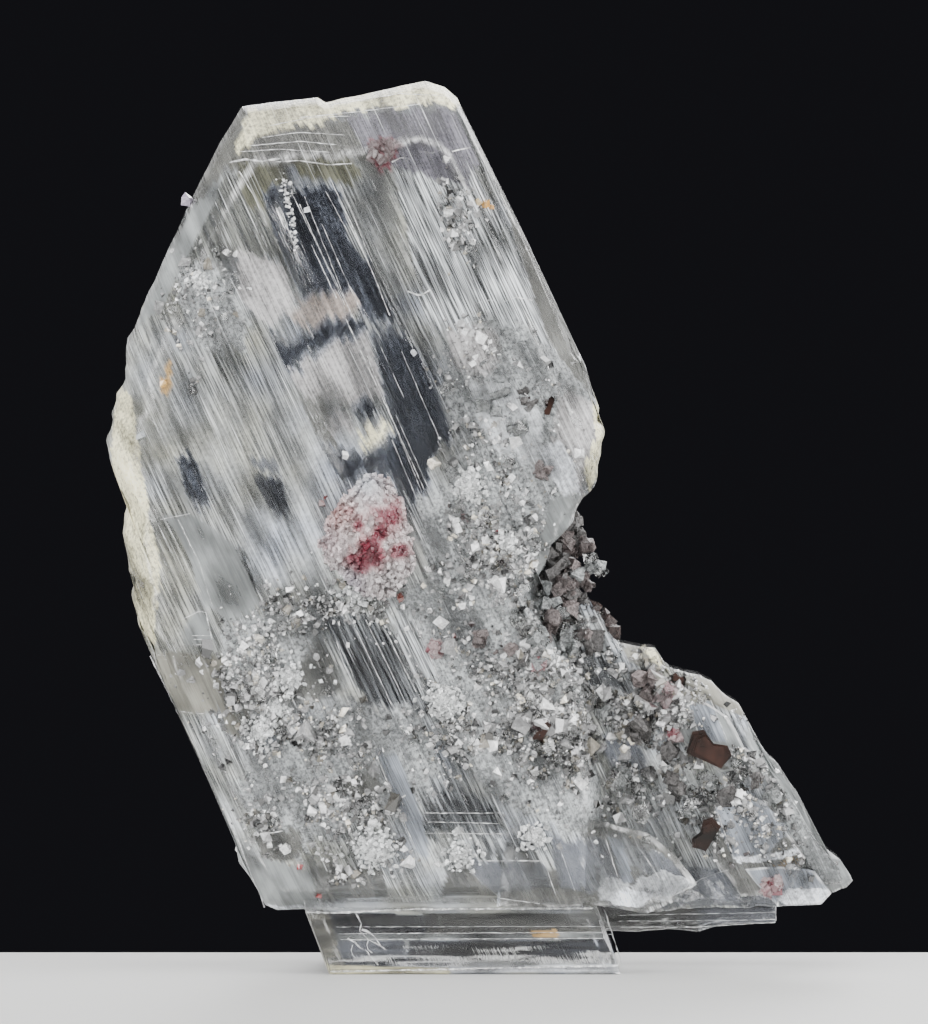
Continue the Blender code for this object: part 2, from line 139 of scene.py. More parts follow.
BIG_BACK = ((0.0, 0.89, 0.967, 1.0), (11.0, 11.0, 7.0, 2.5))

FAN_OUTLINE = np.array([
    (7.0, 50.0), (12.0, 50.6), (14.9, 50.0), (16.8, 46.4), (18.1, 44.4), (23.5, 43.1), (24.8, 40.5),
    (29.1, 39.7), (34.4, 36.0), (36.0, 33.1), (39.2, 28.4), (42.4, 23.7), (45.7, 17.1), (48.4, 14.9),
    (49.9, 12.3), (49.1, 11.3), (46.7, 10.5), (46.3, 9.3), (40.1, 8.8), (28.0, 8.2), (16.4, 8.8),
    (4.0, 14.0), (0.0, 40.0),
])
FAN_CENTRE = np.array([20.0, 24.0])
FAN_FRONT = ((0.0, 0.93, 1.0), (-7.5, -7.5, -5.0))
FAN_BACK = ((0.0, 0.91, 0.975, 1.0), (8.5, 8.5, 6.5, 3.0))

# Millimetres between columns, and rows from end to end
BIG_STEPS = (0.22, 96)
FAN_STEPS = (0.35, 80)

# Clear windows with hardly any frosting, as corners in x and z
WINDOWS = [
    [(-28.1, 103.3), (-26.4, 104.8), (-19.2, 105.9), (-18.5, 101.7), (-17.7, 97.5), (-14.7, 95.5),
        (-14, 92), (-11.2, 88), (-14.7, 87.5), (-18.3, 90.4), (-21.3, 90.7), (-23.2, 92.4), (-25.3, 97.1)],
    [(-28.1, 86), (-25.3, 84.9), (-22.8, 86.5), (-19.2, 88.1), (-15.9, 88.8), (-15.7, 87.2),
        (-17.7, 85.6), (-21.2, 84), (-23.5, 82.7), (-25.6, 80.1), (-26.9, 82.7)],
    [(-14.8, 86), (-11.3, 86.4), (-8.8, 84.4), (-6.8, 79.3), (-4.8, 74.5), (-4, 71.9), (-6.8, 69.3),
        (-7.3, 67.7), (-7.7, 64.5), (-8.8, 63.2), (-11.1, 64.1), (-11.5, 65.6), (-14.5, 67.6),
        (-16.8, 66.8), (-18.1, 65.2), (-19.2, 66.8), (-20.8, 69.6), (-19.9, 70.5), (-15.7, 70.1),
        (-12.4, 71.6), (-11.5, 72.7), (-12.8, 76.5), (-13.5, 78), (-14.5, 82.9)],
    [(-17.6, 76.5), (-14.7, 77.6), (-13.9, 75.2), (-16, 74.1), (-17.1, 75.2)],
    [(-40.8, 69.1), (-38.9, 70.1), (-37.6, 67.7), (-36.5, 63.2), (-38.1, 62.7), (-39.7, 65.1)],
    [(-30.4, 66.3), (-26.8, 66.8), (-25.7, 61.9), (-27.3, 61.1), (-29.1, 64.1)],
    [(-32.8, 57.3), (-31.7, 57.1), (-29.3, 50), (-30.4, 52)],
    [(-21.1, 47.7), (-17.6, 48.8), (-12.5, 46.4), (-10.9, 43.1), (-7.2, 36), (-9.6, 35.5), (-12.8, 36.3),
        (-16, 37.3), (-18.3, 41.7)],
    [(-8.5, 23.5), (-1.3, 23.7), (2.8, 21.6), (3.2, 19.2), (-7.7, 19.2)],
    [(-1.1, 17.6), (5.1, 17.7), (6.4, 15.6), (-0.5, 15.5)],
]


def lean_coordinates(x, z):
    """Distance across and along the crystal, in millimetres, of points given by x and z."""
    return x * ACROSS[0] + z * ACROSS[1], x * ALONG[0] + z * ALONG[1]


def strips(q, p, width, length, rng):
    """Random heights from -1 to 1 on strips along the crystal: a table over (strip, place along), read with
    the nearest strip across and a linear blend along, each strip shifted along by its own amount."""
    table = rng.uniform(-1, 1, (256, 256))
    shift = rng.uniform(0, 64, 256)
    row = np.floor(q / width).astype(int) % 256
    place = p / length + shift[row]
    cell = np.floor(place).astype(int)
    blend = np.clip((place - cell) * 3 - 1, 0, 1)
    return table[row, cell % 256] * (1 - blend) + table[row, (cell + 1) % 256] * blend


def value_noise(u, v, rng, octaves=3):
    """Smooth noise from -1 to 1: random lattice values blended with a cubic, halved in size each octave."""
    total = np.zeros_like(u)
    for octave in range(octaves):
        lattice = rng.uniform(-1, 1, (64, 64))
        a, b = u * 2 ** octave, v * 2 ** octave
        i, j = np.floor(a).astype(int), np.floor(b).astype(int)
        s, t = a - i, b - j
        s, t = s * s * (3 - 2 * s), t * t * (3 - 2 * t)
        low = lattice[i % 64, j % 64] * (1 - s) + lattice[(i + 1) % 64, j % 64] * s
        high = lattice[i % 64, (j + 1) % 64] * (1 - s) + lattice[(i + 1) % 64, (j + 1) % 64] * s
        total += (low * (1 - t) + high * t) / 2 ** octave
    return total


def in_polygon(x, z, corners):
    """True where the point is inside the polygon: it has an odd number of the edges on its right."""
    inside = np.zeros(x.shape, bool)
    for (x0, z0), (x1, z1) in zip(corners, corners[1:] + corners[:1]):
        if z0 != z1:
            inside ^= ((z0 > z) != (z1 > z)) & (x < x0 + (z - z0) / (z1 - z0) * (x1 - x0))
    return inside


def widened(corners, share=1.3):
    """The corners moved away from their middle, to share times the distance."""
    middle = np.mean(corners, axis=0)
    return (middle + (np.array(corners) - middle) * share).tolist()


def in_windows(x, z):
    """True where the point is in one of the clear windows."""
    return np.any([in_polygon(x, z, corners) for corners in WINDOWS], axis=0)


def roughen_outline(outline, amount, rng, step=0.9):
    """The outline cut into short pieces, each point moved by noise times amount(x, z) from the middle."""
    following = np.roll(outline, -1, axis=0)
    pieces = []
    for start, end in zip(outline, following):
        count = max(1, int(round(np.hypot(*(end - start)) / step)))
        share = np.linspace(0, 1, count, endpoint=False)[:, None]
        pieces.append(start + (end - start) * share)
    points = np.concatenate(pieces)
    outwards = points - points.mean(axis=0)
    outwards /= np.hypot(outwards[:, 0], outwards[:, 1])[:, None]
    noise = value_noise(points[:, 0] / 3.1 + 40, points[:, 1] / 3.1 + 40, rng)
    return points + outwards * ((noise + 0.25) * amount(points[:, 0], points[:, 1]))[:, None]


def span(outline, columns):
    """For each column across the crystal, the least and greatest distance along it inside the outline."""
    q, p = lean_coordinates(outline[:, 0], outline[:, 1])
    q2, p2 = np.roll(q, -1), np.roll(p, -1)
    crosses = (q[None] > columns[:, None]) != (q2[None] > columns[:, None])
    with np.errstate(divide="ignore", invalid="ignore"):
        share = (columns[:, None] - q[None]) / (q2 - q)[None]
    hit = p[None] + share * (p2 - p)[None]
    low = np.where(crosses, hit, np.inf).min(axis=1)
    high = np.where(crosses, hit, -np.inf).max(axis=1)
    return low, high


def edge_share(x, z, outline, centre):
    """How far each point is from the centre, as a share of the distance to the outline the same way."""
    turn = np.arctan2(outline[:, 1] - centre[1], outline[:, 0] - centre[0])
    reach = np.hypot(outline[:, 0] - centre[0], outline[:, 1] - centre[1])
    order = np.argsort(turn)
    here = np.arctan2(z - centre[1], x - centre[0])
    edge = np.interp(here, turn[order], reach[order], period=math.tau)
    return np.hypot(x - centre[0], z - centre[1]) / edge


def mesh_object(name, points, faces):
    """A mesh from points in millimetres and from faces, an array or a list, as a linked object in metres."""
    mesh = bpy.data.meshes.new(name)
    faces = faces.tolist() if isinstance(faces, np.ndarray) else faces
    mesh.from_pydata((points * MM).tolist(), [], faces)
    made = bpy.data.objects.new(name, mesh)
    bpy.context.scene.collection.objects.link(made)
    return made


def grid_faces(index):
    """The four corners of each cell of a grid of point numbers, in order round the cell."""
    corners = (index[:-1, :-1], index[:-1, 1:], index[1:, 1:], index[1:, :-1])
    return np.column_stack([corner.ravel() for corner in corners])


def blade_grid(outline, centre, front, back, relief, column_step, rows):
    """Front and back depth over columns across the crystal, each with rows from end to end.

    Depth is read from the share of the way to the outline, so the edges slope back, and relief(q, p, side)
    is added where the point is well inside the outline. The rows crowd towards the ends by a cosine.
    """
    q, _ = lean_coordinates(outline[:, 0], outline[:, 1])
    columns = np.arange(q.min() + 0.05, q.max() - 0.04, column_step)
    low, high = span(outline, columns)
    share = np.linspace(0, 1, rows)
    share = 0.5 * share + 0.25 - 0.25 * np.cos(share * math.pi)
    p = low[:, None] + (high - low)[:, None] * share[None]
    q = np.repeat(columns[:, None], rows, axis=1)
    x = q * ACROSS[0] + p * ALONG[0]
    z = q * ACROSS[1] + p * ALONG[1]
    edge = np.clip(edge_share(x, z, outline, centre), 0, 1)
    inner = np.clip((0.97 - edge) / 0.06, 0, 1)
    edge[:, 0] = edge[:, -1] = 1.0
    edge[0] = edge[-1] = 1.0
    y_front = np.interp(edge, *front) - relief(q, p, -1) * inner
    y_back = np.interp(edge, *back) + relief(q, p, 1) * inner
    return x, z, y_front, y_back, edge


def blade(name, outline, centre, front, back, relief, column_step, rows):
    """A closed blade: the front and back grids of blade_grid, joined by a wall all round."""
    x, z, y_front, y_back, _ = blade_grid(outline, centre, front, back, relief, column_step, rows)
    points = np.concatenate((
        np.column_stack((x.ravel(), y_front.ravel(), z.ravel())),
        np.column_stack((x.ravel(), y_back.ravel(), z.ravel())),
    ))
    index = np.arange(x.size).reshape(x.shape)
    faces = [grid_faces(index), grid_faces(index)[:, ::-1] + x.size]
    for line in (index[:, 0], index[-1, :], index[::-1, -1], index[0, ::-1]):
        faces.append(np.column_stack((line[:-1], line[1:], line[1:] + x.size, line[:-1] + x.size)))
    return mesh_object(name, points, np.concatenate(faces))


def big_edge(x, z):
    """Corroded on the left between 35 and 92 mm up and on the right shoulder, nearly straight elsewhere."""
    left = np.clip((z - 35) / 8, 0, 1) * np.clip((92 - z) / 8, 0, 1) * (x < -30)
    shoulder = np.clip((z - 45) / 6, 0, 1) * np.clip((84 - z) / 6, 0, 1) * (x > 5)
    return 0.1 + 0.75 * left + 0.6 * shoulder


def big_relief(q, p, side):
    """Striations of four widths, calmed in the clear windows."""
    rng = np.random.default_rng(21 if side < 0 else 22)
    x = q * ACROSS[0] + p * ALONG[0]
    z = q * ACROSS[1] + p * ALONG[1]
    warp = 0.25 * value_noise(q / 9, p / 30, rng)
    deep = 0.30 * strips(q + warp, p, 5.3, 26.0, rng)
    deep += 0.16 * strips(q + warp, p, 2.1, 17.0, rng)
    fine = 0.07 * strips(q, p, 0.9, 11.0, rng)
    calm = 1 - 0.85 * in_windows(x, z)
    return (deep + fine + 0.12 * value_noise(q / 5, p / 11, rng)) * calm


def fan_relief(q, p, side):
    """Rough all over, with one width of striations."""
    rng = np.random.default_rng(31 if side < 0 else 32)
    rough = 0.5 * value_noise(q / 2.2, p / 3.1, rng, octaves=4)
    return rough + 0.2 * strips(q, p, 1.7, 9.0, rng)


rng = np.random.default_rng(5)
big_outline = roughen_outline(BIG_OUTLINE, big_edge, rng)
fan_outline = roughen_outline(FAN_OUTLINE, lambda x, z: 0.45 + 0 * x, rng)
big_blade = blade("gypsum_big_blade", big_outline, BIG_CENTRE, BIG_FRONT, BIG_BACK, big_relief, *BIG_STEPS)
fan_blade = blade("gypsum_fan_blade", fan_outline, FAN_CENTRE, FAN_FRONT, FAN_BACK, fan_relief, *FAN_STEPS)

# The foot plate that the specimen stands on, the shelf beside it and the plates proud of the right-hand
# blade: flat cleaved slabs of the same clear gypsum, grown into the blades
FOOT_OUTLINE = np.array([
    (-25.5, 18.0), (-23.6, 8.3), (-20.5, 0.0), (18.7, 0.0), (15.2, 9.7), (12.0, 18.0),
])
SHELF_OUTLINE = np.array([
    (8.0, 15.0), (12.0, 6.0), (17.1, 5.4), (21.1, 5.2), (25.0, 5.7), (29.1, 5.2), (33.0, 6.3), (39.5, 6.4),
    (39.9, 12.0), (29.1, 16.0),
])
FOOT_FRONT, FOOT_BACK = ((0, 0.97, 1), (-9.5, -9.5, -9.0)), ((0, 0.97, 1), (10.0, 10.0, 9.5))
SHELF_FRONT, SHELF_BACK = ((0, 0.97, 1), (-4.5, -4.5, -4.0)), ((0, 0.97, 1), (5.5, 5.5, 5.0))
PLATE_BACK = ((0, 1), (-4.6, -4.6))
FRONT_PLATES = {
    "cracked": ([(4.0, 24.0), (14.5, 21.0), (22.0, 19.0), (25.5, 16.5), (28.7, 12.3), (25.5, 9.6),
        (22.0, 8.3), (16.5, 9.2), (2.0, 9.2)], -11.2),
    "window": ([(30.5, 22.3), (34.5, 24.8), (38.6, 22.6), (43.6, 15.6), (41.3, 11.0), (34.8, 10.4),
        (31.0, 15.5)], -9.2),
    "corner": ([(35.0, 14.2), (40.0, 14.6), (44.6, 13.9), (46.8, 10.9), (45.4, 9.4), (39.6, 9.1)], -9.9),
    "upper": ([(22.5, 41.0), (28.5, 37.5), (33.0, 34.5), (36.5, 28.0), (32.0, 27.0), (24.0, 33.5)], -8.9),
    "tip": ([(41.0, 24.5), (44.8, 17.8), (48.0, 14.2), (48.4, 12.2), (45.6, 12.0), (40.0, 20.5)], -8.5),
}


def level_lines(q, p, side):
    """Cleavage lines that run level: strips over the height above the table."""
    rng = np.random.default_rng(41)
    z = q * ACROSS[1] + p * ALONG[1]
    return 0.1 * strips(z, q, 0.7, 8.0, rng)


def still(q, p, side):
    """No relief at all."""
    return 0 * q


def plate_profile(plate_front):
    """The front of a plate: flat, with a bevel 0.9 mm deep round its edge."""
    return (0, 0.9, 1), (plate_front, plate_front, plate_front + 0.9)


foot_centre = np.array([-2.0, 6.0])
foot_outline = roughen_outline(FOOT_OUTLINE, lambda x, z: 0.05 + 0 * x, rng)
foot_outline[:, 1] = np.maximum(foot_outline[:, 1], 0.0)
shelf_centre = np.array([24.0, 11.0])
shelf_outline = roughen_outline(SHELF_OUTLINE, lambda x, z: 0.12 + 0 * x, rng)
blades = [
    big_blade, fan_blade,
    blade("gypsum_foot", foot_outline, foot_centre, FOOT_FRONT, FOOT_BACK, level_lines, 0.6, 40),
    blade("gypsum_shelf", shelf_outline, shelf_centre, SHELF_FRONT, SHELF_BACK, level_lines, 0.5, 26),
]
plate_outlines = {}
for plate_name, (corners, plate_front) in FRONT_PLATES.items():
    corners = np.array(corners)
    edge_points = roughen_outline(corners, lambda x, z: 0.15 + 0 * x, rng)
    plate_outlines[plate_name] = (edge_points, corners.mean(axis=0))
    blades.append(blade(
        "gypsum_plate_" + plate_name, *plate_outlines[plate_name], plate_profile(plate_front), PLATE_BACK,
        still, 0.5, 26,
    ))

group = bpy.data.collections.new("grown_together")
for piece in blades[1:]:
    group.objects.link(piece)
join = big_blade.modifiers.new("grow_together", "BOOLEAN")
join.operation = "UNION"
join.operand_type = "COLLECTION"
join.collection = group
join.solver = "MANIFOLD"
shape = bpy.data.meshes.new_from_object(big_blade.evaluated_get(bpy.context.evaluated_depsgraph_get()))
for piece in blades:
    old = piece.data
    bpy.data.objects.remove(piece)
    bpy.data.meshes.remove(old)
bpy.data.collections.remove(group)
shape.name = "gypsum_body"
shape.shade_smooth()
shape.set_sharp_from_angle(angle=math.radians(24))
gypsum = bpy.data.objects.new("gypsum_body", shape)
bpy.context.scene.collection.objects.link(gypsum)


def add_node(tree, kind, inputs=(), **settings):
    """A new shader node; inputs are pairs of a socket and a value or another node's output."""
    made = tree.nodes.new("ShaderNode" + kind)
    for name, value in settings.items():
        setattr(made, name, value)
    for socket, value in inputs:
        if isinstance(value, bpy.types.NodeSocket):
            tree.links.new(value, made.inputs[socket])
        else:
            made.inputs[socket].default_value = value
    return made


def fit_range(tree, value, low, high, start=0.0, end=1.0):
    """The value taken from low..high to start..end and kept within it."""
    pairs = [("Value", value), ("From Min", low), ("From Max", high), ("To Min", start), ("To Max", end)]
    return add_node(tree, "MapRange", pairs).outputs["Result"]


def arithmetic(tree, operation, first, second):
    """The output of one Math node."""
    return add_node(tree, "Math", [(0, first), (1, second)], operation=operation).outputs["Value"]


def scaled(tree, colour, factor):
    """The colour times the factor."""
    pairs = [(0, colour), ("Scale", factor)]
    return add_node(tree, "VectorMath", pairs, operation="SCALE").outputs["Vector"]


# The group gives fine lines along the crystal, sparse bright lines for painted highlights and fine grains,
# each from 0 to 1
texture = bpy.data.node_groups.new("crystal_texture", "ShaderNodeTree")
for name in ("Lines", "Bright", "Grains"):
    texture.interface.new_socket(name, in_out="OUTPUT", socket_type="NodeSocketFloat")
place = add_node(texture, "TexCoord").outputs["Object"]
across = add_node(texture, "VectorMath", [(0, place), (1, (ACROSS[0] / MM, 0, ACROSS[1] / MM))],
                  operation="DOT_PRODUCT").outputs["Value"]
along = add_node(texture, "VectorMath", [(0, place), (1, (ALONG[0] / MM, 0, ALONG[1] / MM))],
                 operation="DOT_PRODUCT").outputs["Value"]


def line_noise(across_scale, along_scale, detail):
    """Noise drawn out along the crystal: across_scale and along_scale waves a millimetre."""
    at = add_node(texture, "CombineXYZ", [
        ("X", arithmetic(texture, "MULTIPLY", across, across_scale)),
        ("Y", arithmetic(texture, "MULTIPLY", along, along_scale)),
    ]).outputs["Vector"]
    pairs = [("Vector", at), ("Scale", 1.0), ("Detail", detail), ("Roughness", 0.62)]
    return add_node(texture, "TexNoise", pairs).outputs["Fac"]


fine = arithmetic(texture, "ADD", line_noise(2.2, 0.06, 2.0), line_noise(5.5, 0.14, 1.0))
fine = fit_range(texture, fine, 0.84, 1.16)
bright = fit_range(texture, line_noise(3.8, 0.08, 1.0), 0.66, 0.74)
speckle = add_node(texture, "TexNoise", [("Vector", place), ("Scale", 1.9 / MM), ("Detail", 3.0),
                                         ("Roughness", 0.7)]).outputs["Fac"]
group_out = texture.nodes.new("NodeGroupOutput")
texture.links.new(fine, group_out.inputs["Lines"])
texture.links.new(bright, group_out.inputs["Bright"])
texture.links.new(fit_range(texture, speckle, 0.36, 0.62), group_out.inputs["Grains"])


def add_bump(tree, shader, height, strength, distance):
    """Bumps on the shader, distance in millimetres."""
    bump = add_node(tree, "Bump", [("Height", height), ("Strength", strength), ("Distance", distance * MM)])
    tree.links.new(bump.outputs["Normal"], shader.inputs["Normal"])


clear, tree, glass = new_material("clear_gypsum")
glass.inputs["Base Color"].default_value = (0.97, 0.975, 0.97, 1)
glass.inputs["Transmission Weight"].default_value = 1.0
glass.inputs["IOR"].default_value = 1.52
crystal = add_node(tree, "Group", node_tree=texture).outputs
tree.links.new(fit_range(tree, crystal["Grains"], 0, 1, 0.02, 0.12), glass.inputs["Roughness"])
add_bump(tree, glass, crystal["Lines"], 0.3, 0.05)
shape.materials.clear()
shape.materials.append(clear)
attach(gypsum, "root")
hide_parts("gypsum_crystals")

# The frosted skin: the broad faces are milky and striated, with clear windows, smooth cleaved plates, cream
# weathered edges and granular crusts. It is a sheet 0.06 mm outside each clear blade, on the same columns,
# and it holds how milky, smooth and granular the face is at each point, and its colour.
SKIN_LIFT = 0.06
LEAST_HAZE = 0.04

# Each kind of surface: how milky, how smooth and how granular it is, mm that its ends run out, and colour
KINDS = {
    "window": (0.07, 0.0, 0.6, 0.6, (0.25, 0.28, 0.35)),
    "dusty": (0.24, 0.6, 0.5, 0.4, (0.28, 0.3, 0.35)),
    "smoky": (0.48, 0.75, 0.3, 0.2, (0.15, 0.15, 0.14)),
    "bevel": (0.45, 0.85, 0.2, 0.0, (0.2, 0.2, 0.185)),
    "plate": (0.82, 0.88, 0.2, 0.0, (0.25, 0.265, 0.265)),
    "beige": (0.8, 0.85, 0.2, 0.0, (0.21, 0.205, 0.175)),
    "cream": (0.92, 0.4, 0.7, 0.3, (0.74, 0.7, 0.48)),
    "olive": (0.66, 0.6, 0.2, 0.2, (0.105, 0.105, 0.075)),
    "milk": (0.78, 0.45, 0.45, 0.5, (0.35, 0.34, 0.34)),
    # White: white frost on rims and lower edges, and the painted highlight on the right shoulder
    "white": (0.86, 0.5, 0.6, 0.1, (0.74, 0.77, 0.82)),
    "blue": (0.75, 0.7, 0.1, 0.0, (0.27, 0.295, 0.335)),
    "ribbed": (0.13, 0.0, 0.0, 0.8, (0.34, 0.36, 0.38)),
    "snow": (0.85, 0.55, 0.6, 0.3, (0.52, 0.54, 0.56)),
    "mauve": (0.6, 0.45, 0.4, 0.4, (0.14, 0.135, 0.16)),
    "red": (0.7, 0.5, 0.8, 0.4, (0.13, 0.045, 0.055)),
    "peach": (0.6, 0.6, 0.5, 0.6, (0.34, 0.29, 0.26)),
    "orange": (0.85, 0.5, 0.6, 0.3, (0.5, 0.32, 0.13)),
    "crust": (0.66, 0.3, 0.75, 0.8, (0.32, 0.335, 0.34)),
    # Wisps: grey wisps painted very dark, partly their own grey and partly painted shade against the top
    # lamp's reflection
    "wisps": (0.7, 0.35, 0.4, 0.3, (0.1, 0.1, 0.09)),
    "stripes": (0.62, 0.0, 0.0, 0.8, (0.44, 0.46, 0.475)),
    "dim": (0.36, 0.05, 0.1, 0.8, (0.17, 0.175, 0.16)),
}

# The faces and patches on the front of the big blade, each drawn over those before it: kind and corners
BIG_PATCHES = [
    ("dim", [(-38.3, 106.4), (-26.9, 107.5), (-24.3, 97.1), (-30.9, 95.5), (-40.3, 95.1)]),
    ("dim", [(-11.6, 105.7), (-5.6, 107.1), (-0.3, 87.7), (-6.9, 86.4)]),
    ("stripes", [(-11.6, 107.1), (-1.6, 108.4), (14.4, 80.4), (-1.6, 86.4), (-6.9, 86.4)]),
    ("bevel", [(2.4, 105.1), (5.1, 103.1), (15.7, 77.7), (13.7, 77.7), (8.8, 85.1)]),
    ("plate", [(-36.9, 105.7), (-34.3, 108), (-35.6, 103.1), (-42.9, 89.1), (-46.7, 86.4), (-44.3, 93.1)]),
    # Grey wisps below the top band, painted dark: partly their own grey, partly painted shade against the
    # top lamp's reflection
    ("wisps", [(-33.9, 110.4), (-29.3, 113.6), (-20.3, 114.4), (-10.9, 114.7), (-4.9, 115.5),
        (-4.3, 110.4), (-12.3, 109.7), (-18.9, 108.4), (-33.9, 107.5)]),
    ("cream", [(-31.9, 116.0), (-21.3, 117.9), (-7.6, 120.8), (-3.2, 118.7), (-2.4, 116.0),
        (-6.9, 116.5), (-11.6, 116.0), (-18.3, 115.5), (-21.9, 113.9), (-26.3, 113.5), (-29.3, 112.5),
        (-32.7, 110.1), (-33.3, 111.7)]),
    ("bevel", [(-32.8, 116.5), (-31.2, 115.5), (-32.8, 111.5), (-34.1, 108.0), (-37.6, 103.7),
        (-38.9, 104.3), (-36.9, 110.4)]),
    ("mauve", [(-18.3, 114.7), (-10.9, 115.5), (-3.6, 115.7), (-0.5, 109.1), (-1.6, 105.1),
        (-10.9, 107.5), (-15.2, 109.7)]),
    ("red", [(-15.2, 111.5), (-12, 112), (-10.4, 110.9), (-12, 108), (-13.6, 107.1), (-14.9, 109.1)]),
    ("crust", [(-4.9, 84.4), (-1.6, 87.5), (5.1, 87.1), (10.4, 82.4), (15.2, 77.7), (16, 70.4),
        (13.1, 63.7), (10.4, 58.4), (7.1, 51.5), (-1.6, 49.1), (-7.6, 55.7), (-8.5, 63.1), (-4, 67.7),
        (-3.6, 73.1), (-5.6, 78.4)]),
    ("snow", [(-1.6, 79.1), (3.1, 79.7), (8.4, 74.4), (7.7, 67.7), (2.4, 69.7), (-0.5, 73.7)]),
    ("milk", [(-4.5, 85.7), (-1.6, 87.1), (2.4, 85.7), (2.1, 81.7), (-1.6, 80.0), (-4.3, 82.1)]),
    ("snow", [(-0.5, 52.4), (3.1, 53.3), (4.3, 49.7), (2.4, 47.7), (-0.3, 49.1)]),
    ("milk", [(2.8, 46.7), (6.8, 48.7), (8.8, 45.1), (6.4, 42.8), (3.5, 43.5)]),
    ("snow", [(-32.9, 47.1), (-29.3, 48.8), (-24.3, 47.1), (-24.5, 42.4), (-27.6, 37.1), (-29.3, 31.7),
        (-32.5, 30.7), (-32.3, 37.1), (-33.9, 40.8)]),
    ("milk", [(10.4, 77.7), (14.7, 77.1), (15.3, 71.7), (13.7, 67.7), (13.7, 64.1), (11.2, 64.8),
        (9.3, 70.4)]),
    ("cream", [(14.7, 76.4), (16.8, 76.4), (16.8, 67.7), (14.4, 64.3), (13.6, 67.7), (15.3, 71.7)]),
    # A painted highlight: the bright bluish white patch on the right shoulder
    ("white", [(7.7, 70.1), (10.4, 71.7), (12.4, 68.3), (13.1, 64.5), (11.2, 63.7), (9.3, 66.7)]),
    ("plate", [(9.1, 63.7), (13.1, 64.8), (10.7, 57.3), (8.5, 51.5), (7.2, 50.1), (7.2, 55.7)]),
    ("crust", [(-11.6, 50.4), (-5.6, 55.7), (7.1, 51.7), (13.1, 45.1), (18.4, 37.1), (22.4, 27.7),
        (19.7, 18.4), (10.4, 19.1), (2.4, 23.7), (-4.3, 29.1), (-7.6, 36.4), (-10.3, 45.1)]),
    ("crust", [(-34.7, 46.7), (-29.3, 49.1), (-24.3, 50.4), (-17.6, 50.9), (-21.9, 45.1), (-28, 37.1),
        (-30.9, 29.1), (-33.3, 31.7), (-34.7, 37.1)]),
    ("crust", [(-31.6, 29.1), (-18.9, 37.1), (-8.3, 35.5), (-4.9, 26.4), (-10.9, 23.1), (-20.3, 19.7),
        (-24.3, 15.5), (-29.3, 17.1), (-32.3, 23.7)]),
    ("milk", [(-32.3, 97.1), (-26.3, 95.1), (-24.9, 89.1), (-28.3, 86.4), (-32.3, 90.4)]),
    ("crust", [(-40.3, 95.5), (-36, 95.5), (-30.9, 87.7), (-31.6, 83.7), (-37.6, 83.7), (-40.5, 90.4)]),
    ("dusty", [(-30.7, 68.8), (-27.5, 69.1), (-27.2, 67.7), (-30.4, 67.5)]),
    ("plate", [(-42.9, 61.5), (-38.9, 62), (-35.6, 59.7), (-32.8, 57.2), (-29.7, 50.3), (-30.7, 48.7),
        (-33.9, 47.7), (-37.3, 50.1), (-38.9, 55.5), (-40.8, 59.7)]),
    ("cream", [(-49.3, 79.7), (-46.7, 77.1), (-44.3, 61.1), (-42.9, 55.7), (-43.3, 50.4), (-44, 43.1),
        (-45.6, 45.1), (-48.3, 53.1), (-49.9, 66.4)]),
    ("orange", [(-42.9, 78.1), (-42.3, 80.8), (-41.5, 82.4), (-41.3, 79.1), (-42.1, 77.6)]),
    ("beige", [(-44.5, 42.7), (-40.8, 43.5), (-34.4, 42.9), (-34.4, 35.5), (-40.5, 34.9), (-42.3, 36.8)]),
    ("plate", [(-40, 46.4), (-37.9, 48.8), (-36.5, 48.5), (-35.9, 44.5), (-39.7, 44.3)]),
    ("beige", [(-34.7, 35.5), (-31.2, 37.1), (-30.9, 33.3), (-32.3, 32), (-34.1, 32.8)]),
    ("smoky", [(-27.6, 38.1), (-24.3, 41.7), (-21.6, 45.1), (-19.6, 42.1), (-18.7, 38.4), (-20.3, 37.2),
        (-24.3, 36.8)]),
    ("stripes", [(-12.8, 46.9), (-9.3, 48), (-5.6, 40.3), (-6.4, 38.1), (-8.8, 38.1)]),
    ("blue", [(-13.9, 29.7), (-11.5, 30.4), (-7.2, 19.5), (-7.2, 15.5), (-8.9, 16.8)]),
    ("smoky", [(-19.3, 25.1), (-15.3, 28.4), (-13.1, 25.3), (-15.3, 23.2)]),
    ("smoky", [(-30.5, 18.9), (-24.3, 19.9), (-23.9, 17.1), (-25.6, 15.3), (-29.3, 15.7)]),
    ("plate", [(-32.3, 16.4), (-29.3, 16), (-25.6, 14.9), (-22.3, 14.1), (-21.9, 9.1), (-29.3, 8.8),
        (-30.9, 13.1)]),
    ("smoky", [(-22.7, 14.3), (-13.3, 14.8), (-12.5, 9.7), (-22.1, 9.3)]),
    ("plate", [(-5.3, 12.8), (-1.9, 13.1), (-2.9, 11.1), (-4.3, 9.5), (-5.2, 10.7)]),
    ("smoky", [(-4.5, 14.7), (15.7, 14.7), (16.5, 9.7), (-5.6, 9.7)]),
    ("dusty", [(-2.4, 15.2), (8.4, 15.3), (9.3, 11.1), (2.4, 10.5), (-0.3, 12.8)]),
    ("dusty", [(9.3, 18.4), (14.4, 18.1), (15.7, 11.1), (10.4, 11.7)]),
    ("white", [(-29.3, 9.2), (-20.3, 8.9), (-8.3, 9.6), (16.3, 9.6), (16.3, 8.3), (-29.3, 8)]),
]
BIG_PATCHES += [("ribbed" if corners[0][1] < 60 else "window", corners) for corners in WINDOWS]
